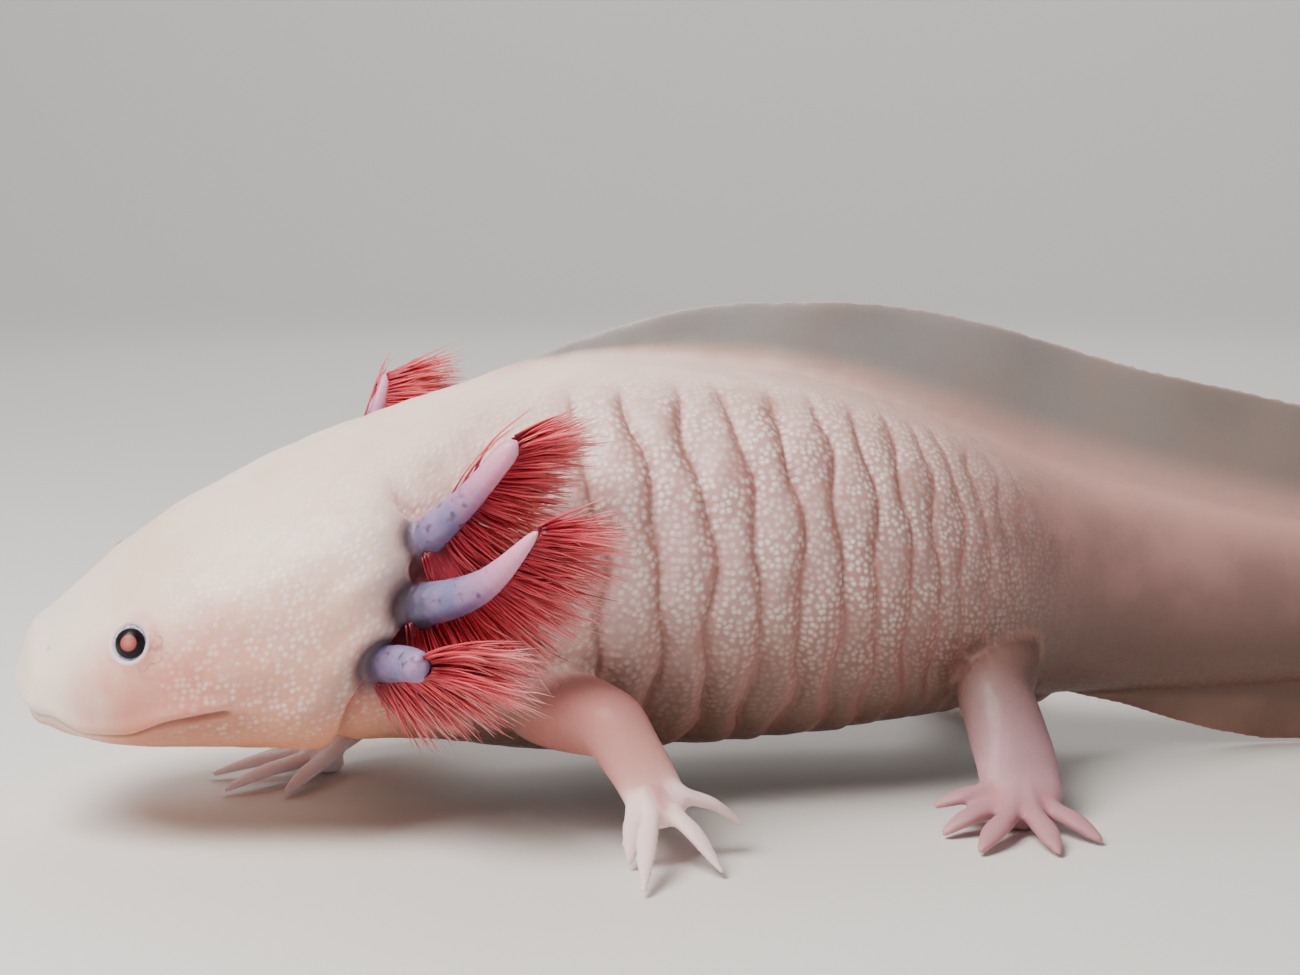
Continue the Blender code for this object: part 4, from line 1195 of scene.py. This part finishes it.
def eye_material():
    """Streaked metal outside, then a dark ring, then a rosy pupil."""
    g = Graph("eye")
    r, streaks = g.number("off_axis"), g.noise(2600, 2)
    dark = g.mix((14, 9, 12), (46, 26, 30), g.ease(0.45, 0.7, streaks), 0.5)
    g.colour = g.mix((196, 186, 204), (120, 112, 132), g.ease(0.4, 0.7, streaks))
    g.lay(dark, g.ease(RING_OUTER + 0.12, RING_OUTER - 0.05, r))
    pupil = g.mix((196, 118, 108), (158, 84, 80), g.ease(0.0, PUPIL_EDGE, r))
    g.lay(pupil, g.ease(PUPIL_EDGE + 0.1, PUPIL_EDGE - 0.1, r))
    return g.finish(Roughness=0.4, Coat_Weight=0.1, Coat_Roughness=0.16, Specular_IOR_Level=0.16)


eye_look = eye_material()
for side in ("left", "right"):
    points, quads = join_shapes([eyeball(side)])
    eye = mesh_object(f"eyeball_{side}", to_frame(points), quads)
    aside, forward = from_line(points, eye_centres[side], gazes[side])
    store(eye.data, "off_axis", np.where(forward > 0, aside, EYE_RADIUS))
    weld(eye.data)
    eye.data.materials.append(eye_look)
    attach(eye, "root")
    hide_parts(f"eye_{side}")
print("eyes at", {side: centre.round(1).tolist() for side, centre in eye_centres.items()})

# %% [markdown]
# ## Gill filaments
#
# Each stalk carries hundreds of fine filaments, thin skin over blood, which is why an axolotl's
# gills are crimson. Every filament is a tapered tube along a bent, slightly wavy line, and all of
# one gill are made at once: the arrays run over filament, ring and side. A line that would enter
# the flank is pushed out along the body's own radius, so the comb lies on the skin like wet hair.

# %% Filament lines
RINGS, SIDES = 10, 4
STALK_STEPS = 121
STALK_OUT = 0.8  # the fringe begins where the stalk is this share of the way from the axis to the skin
ROOT_PLACE = 0.8  # the fringe's roots lie this share of the stalk's radius from its middle
COMB_COUNT, WISP_COUNT = 720, 6
FIRST_SEED = 100
FILAMENT_RADIUS = 0.18
SHORT_LENGTH, SHORT_SHARE = 0.62, 0.38  # length of the shorter filaments, and how many there are
FLANK_CLEARANCE = 1.1
PATCH = 0.003  # size of one filament's patch on the bake map
EVEN = np.linspace(0, 1, RINGS)


def stalk_spots(g, share):
    """Middle, direction and radius of the stalk at each share of its length."""
    centres, _, _, along, steps = path_frames(g["path"], STALK_STEPS, STALK_ACROSS)
    tangents = unit(np.gradient(centres, axis=0))
    spot, towards = along_line(share, steps, centres), unit(along_line(share, steps, tangents))
    return spot, towards, np.interp(share, steps, smooth(along, g["thick"], steps))


def clear_of_body(lines):
    """Moves points away from the body's axis until they lie outside its skin."""
    y, z, half, *_ = measures(lines[..., 0])
    share = (1 + FLANK_CLEARANCE / half) / np.maximum(depth(lines), 0.05)
    axis = np.stack([lines[..., 0], y, z], -1)
    return axis + (lines - axis) * np.maximum(share, 1)[..., None]


def comb_lines(g, rng):
    """The fringe: roots along the stalk, and lines that turn from the root's comb direction to the tip's."""
    start = first_outside(g) + g["bare"]
    share = start + (1 - start) * rng.random(COMB_COUNT) ** 0.8
    spot, towards, radius = stalk_spots(g, share)
    where = (share - start) / (1 - start)
    column = where[:, None]
    comb = unit(g["comb"][0] * (1 - column) + g["comb"][1] * column)
    edge = unit(comb - towards * (comb * towards).sum(1, keepdims=True))
    other = np.cross(towards, edge)
    turn = rng.choice([-1.0, 1.0], COMB_COUNT) * rng.uniform(0.15, 0.75 + 0.8 * where**4)
    out = edge * np.cos(turn)[:, None] + other * np.sin(turn)[:, None]
    root = spot + out * (radius * ROOT_PLACE)[:, None]
    tilt = 0.22 * np.sin(turn)[:, None] * other + rng.normal(0, 0.09, (COMB_COUNT, 3))
    direction = unit(comb + tilt + 0.25 * towards * column)
    longest = g["length"][0] * (1 - where) + g["length"][1] * where
    longest = longest * ease(-0.3, 0.2, where)
    part = rng.choice([1.0, SHORT_LENGTH], COMB_COUNT, p=[1 - SHORT_SHARE, SHORT_SHARE])
    length = longest * part * rng.uniform(0.78, 1.12, COMB_COUNT)
    bend = np.array([0.22, 0.0, -g["droop"]]) + rng.normal(0, 0.06, (COMB_COUNT, 3))
    # A low tone is painted shade: filaments near the stalk's root and short ones come out darker.
    tone = length / longest * ease(-0.1, 0.35, where)
    return line_points(root, direction, length, bend, rng), share, turn / np.pi, tone


def wisp_lines(g, rng):
    """A few long filaments that run along the stalk's upper side, arch away from it and pass its tip."""
    share = rng.uniform(0.42, 0.8, WISP_COUNT)
    spot, towards, radius = stalk_spots(g, share)
    comb = unit(g["comb"][0])
    edge = unit(comb - towards * (towards @ comb)[:, None])
    root = spot - edge * (radius * 0.7)[:, None]
    direction = unit(towards - edge * rng.uniform(0.2, 0.42, (WISP_COUNT, 1)))
    whole = np.linalg.norm(np.diff(g["path"], axis=0), axis=1).sum()
    length = (1 - share) * whole + rng.uniform(1.0, 5.0, WISP_COUNT)
    bend = edge * rng.uniform(0.22, 0.4, (WISP_COUNT, 1)) + rng.normal(0, 0.05, (WISP_COUNT, 3))
    lines = line_points(root, direction, length, bend, rng)
    return lines, share, np.full(WISP_COUNT, 0.9), np.ones(WISP_COUNT)


def line_points(root, direction, length, bend, rng):
    """Lines p(t) = root + length (direction t + bend t^2) + a small sideways wave that grows with t."""
    count = len(root)
    t = EVEN[None, :, None]
    wave = np.sin(2 * np.pi * (t * rng.uniform(0.6, 1.7, (count, 1, 1)) + rng.random((count, 1, 1))))
    aside = unit(np.cross(direction, rng.normal(0, 1, (count, 3))))[:, None]
    sway = aside * wave * t * rng.uniform(0.01, 0.06, (count, 1, 1))
    lines = root[:, None] + length[:, None, None] * (direction[:, None] * t + bend[:, None] * t**2 + sway)
    return clear_of_body(lines)


def first_outside(g):
    """The share of the stalk's length where it comes out of the head."""
    centres, *_, steps = path_frames(g["path"], STALK_STEPS, STALK_ACROSS)
    return float(steps[depth(centres) > STALK_OUT][0])


# %% Filaments as tubes
def filament_tubes(lines, radius):
    """Rings round each line, thinner to the tip as 1 - 0.7 t, closed at both ends."""
    ahead = unit(np.gradient(lines, axis=1))
    aside = unit(np.cross(ahead, (0.31, 0.22, 0.92)))
    above = np.cross(aside, ahead)
    size = (radius[:, None] * (1 - 0.7 * EVEN) * np.sqrt(1 - 0.9 * EVEN**12))[..., None, None]
    turn = np.linspace(0, 2 * np.pi, SIDES, endpoint=False)[:, None]
    rings = lines[:, :, None] + size * (aside[:, :, None] * np.cos(turn) + above[:, :, None] * np.sin(turn))
    ends = [np.repeat(lines[:, k, None, None], SIDES, 2) for k in (0, -1)]
    return np.concatenate([ends[0], rings, ends[1]], 1)


def filament_object(name, lines, share, turn, tone, radius):
    """One mesh for all filaments of a gill, with its colour numbers and its bake map."""
    tubes = filament_tubes(lines, radius)
    count, rows = len(tubes), tubes.shape[1]
    one = ring_quads(rows, SIDES)
    quads = (one[None] + (np.arange(count) * rows * SIDES)[:, None, None]).reshape(-1, 4)
    made = mesh_object(name, to_frame(tubes.reshape(-1, 3)), quads)
    reach = np.concatenate([[0], EVEN, [1]])
    store(made.data, "reach", np.broadcast_to(reach[None, :, None], tubes.shape[:3]))
    store(made.data, "tone", np.broadcast_to(tone[:, None, None], tubes.shape[:3]))
    # The stalk's own unwrap runs along it in u and round it in v; each filament is a patch at its root.
    r, c = np.divmod(np.arange((rows - 1) * SIDES), SIDES)
    u, v = np.stack([r, r, r + 1, r + 1], 1) / (rows - 1), np.stack([c, c + 1, c + 1, c], 1) / SIDES
    local = np.stack([u, v], -1)
    root = np.stack([0.03 + 0.94 * share, 0.5 + 0.45 * turn], 1)
    uv = made.data.uv_layers.new(name="OFBake")
    uv.data.foreach_set("uv", (root[:, None, None] + PATCH * (local - 0.5)).astype(np.float32).ravel())
    weld(made.data)
    return made


def filament_material():
    """Crimson, brighter where the tone is high and pinker to the tips; painted shade makes the roots darkest
    and deepens a low tone.
    """
    g = Graph("gill_filament")
    reach, tone = g.number("reach"), g.number("tone")
    g.colour = g.mix((132, 8, 32), (206, 34, 60), g.ease(0.0, 0.8, tone))
    g.lay((238, 84, 100), g.ease(0.1, 0.6, reach), g.ease(0.0, 0.14, tone, 0.1, 1.0))
    g.lay((244, 166, 164), g.ease(0.45, 1.0, reach), g.ease(0.0, 0.6, tone, 0.1, 1.0))
    # Painted shade at the filaments' roots.
    g.lay((92, 8, 24), g.ease(0.1, 0.0, reach), 0.5)
    return g.finish(Roughness=0.46, Subsurface_Weight=0.3, Subsurface_Scale=0.0006,
                    Subsurface_Radius=(1.0, 0.3, 0.25), Coat_Weight=0.1, Coat_Roughness=0.25)


filament_look = filament_material()
triangles = 0
for seed, (name, g) in enumerate(gills.items()):
    rng = np.random.default_rng(FIRST_SEED + seed)
    sets = [comb_lines(g, rng)]
    if name.endswith("1"):
        sets.append(wisp_lines(g, rng))
    lines, share, turn, tone = gather(sets)
    tone = np.clip(rng.uniform(0, 1, len(lines)) * tone, 0, 1)
    radius = FILAMENT_RADIUS * rng.uniform(0.7, 1.15, len(lines))
    comb = filament_object(f"gill_filaments_{name}", lines, share, turn, tone, radius)
    comb.data.materials.append(filament_look)
    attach(comb, "root")
    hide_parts(f"gill_fringe_{name}")
    triangles += triangle_count(comb.data)
print("filament triangles:", triangles)

# %% [markdown]
# ## Floor, light and camera
#
# The floor is a wide pale plate whose rim turns up, so that the camera sees no sharp horizon. One soft
# lamp hangs above and ahead of the snout, a weaker one fills in from the camera's side towards the
# tail, one stands behind and one lights the backdrop. The camera looks a little down on the left flank.

# %% Stage
FLOOR_FLAT, FLOOR_RIM, FLOOR_RISE = 0.95, 2.4, 0.9
FLOOR_BELOW = 0.00005  # metres that the floor lies below the soles
CAMERA_AIM = np.array([-5.9, 2.8, 37.1])  # millimetres in the layout, in the chest
CAMERA_AWAY, CAMERA_TURN, CAMERA_TILT = 280.0, 14.0, 8.0
LENS = 60.92

# Place, aim, size, power and colour of each square soft lamp, in metres and watts.
LAMPS = {
    "key": ((-0.30, -0.12, 0.42), (-0.06, 0, 0.02), 0.28, 4.7, (1.0, 0.96, 0.91)),
    "fill": ((0.4, -0.6, 0.25), (0.02, 0, 0.03), 0.6, 0.6, (0.95, 0.96, 1.0)),
    "rim": ((0.15, 0.6, 0.5), (0, 0, 0.03), 0.5, 1.4, (1.0, 0.98, 0.96)),
    "backdrop": ((0.4, 1.2, 1.5), (0.3, 2.0, 0.2), 1.5, 18.0, (1.0, 1.0, 1.0)),
}

radius = np.concatenate([[0.02], np.linspace(0.1, FLOOR_RIM, 60)])[:, None]
turn = np.linspace(0, 2 * np.pi, 96, endpoint=False)[None]
rise = np.clip(radius - FLOOR_FLAT, 0, None) ** 2 * FLOOR_RISE
grid = np.stack([radius * np.cos(turn), radius * np.sin(turn), rise - FLOOR_BELOW + 0 * turn], -1)
inner = np.repeat(grid[:1].mean(1, keepdims=True), grid.shape[1], 1)
grid = np.concatenate([inner, grid])
floor = mesh_object("floor", grid.reshape(-1, 3), ring_quads(*grid.shape[:2]))
weld(floor.data)
floor_look = Graph("pale_floor")
floor_look.colour = paint(222, 220, 216)
floor.data.materials.append(floor_look.finish(Roughness=0.7))

for name, (place, aim, size, power, colour) in LAMPS.items():
    light = bpy.data.lights.new(name, "AREA")
    light.size = size
    light.energy = power
    light.color = colour
    made = new_object(name, light)
    made.location = place
    made.rotation_euler = (Vector(aim) - Vector(place)).to_track_quat("-Z", "Y").to_euler()

world = bpy.data.worlds.new("studio")
world.use_nodes = True
world.node_tree.nodes["Background"].inputs["Color"].default_value = (0.8, 0.82, 0.85, 1)
world.node_tree.nodes["Background"].inputs["Strength"].default_value = 0.16
bpy.context.scene.world = world

turn, tilt = np.radians(CAMERA_TURN), np.radians(CAMERA_TILT)
forward = np.array([np.sin(turn) * np.cos(tilt), np.cos(turn) * np.cos(tilt), -np.sin(tilt)])
lens = bpy.data.cameras.new("camera")
lens.lens = LENS
lens.clip_start, lens.clip_end = 0.01, 20
camera = new_object("camera", lens)
camera.location = to_frame(CAMERA_AIM - forward * CAMERA_AWAY)
camera.rotation_euler = Vector(forward).to_track_quat("-Z", "Y").to_euler()
bpy.context.scene.camera = camera
print("camera at", [round(v, 4) for v in camera.location])
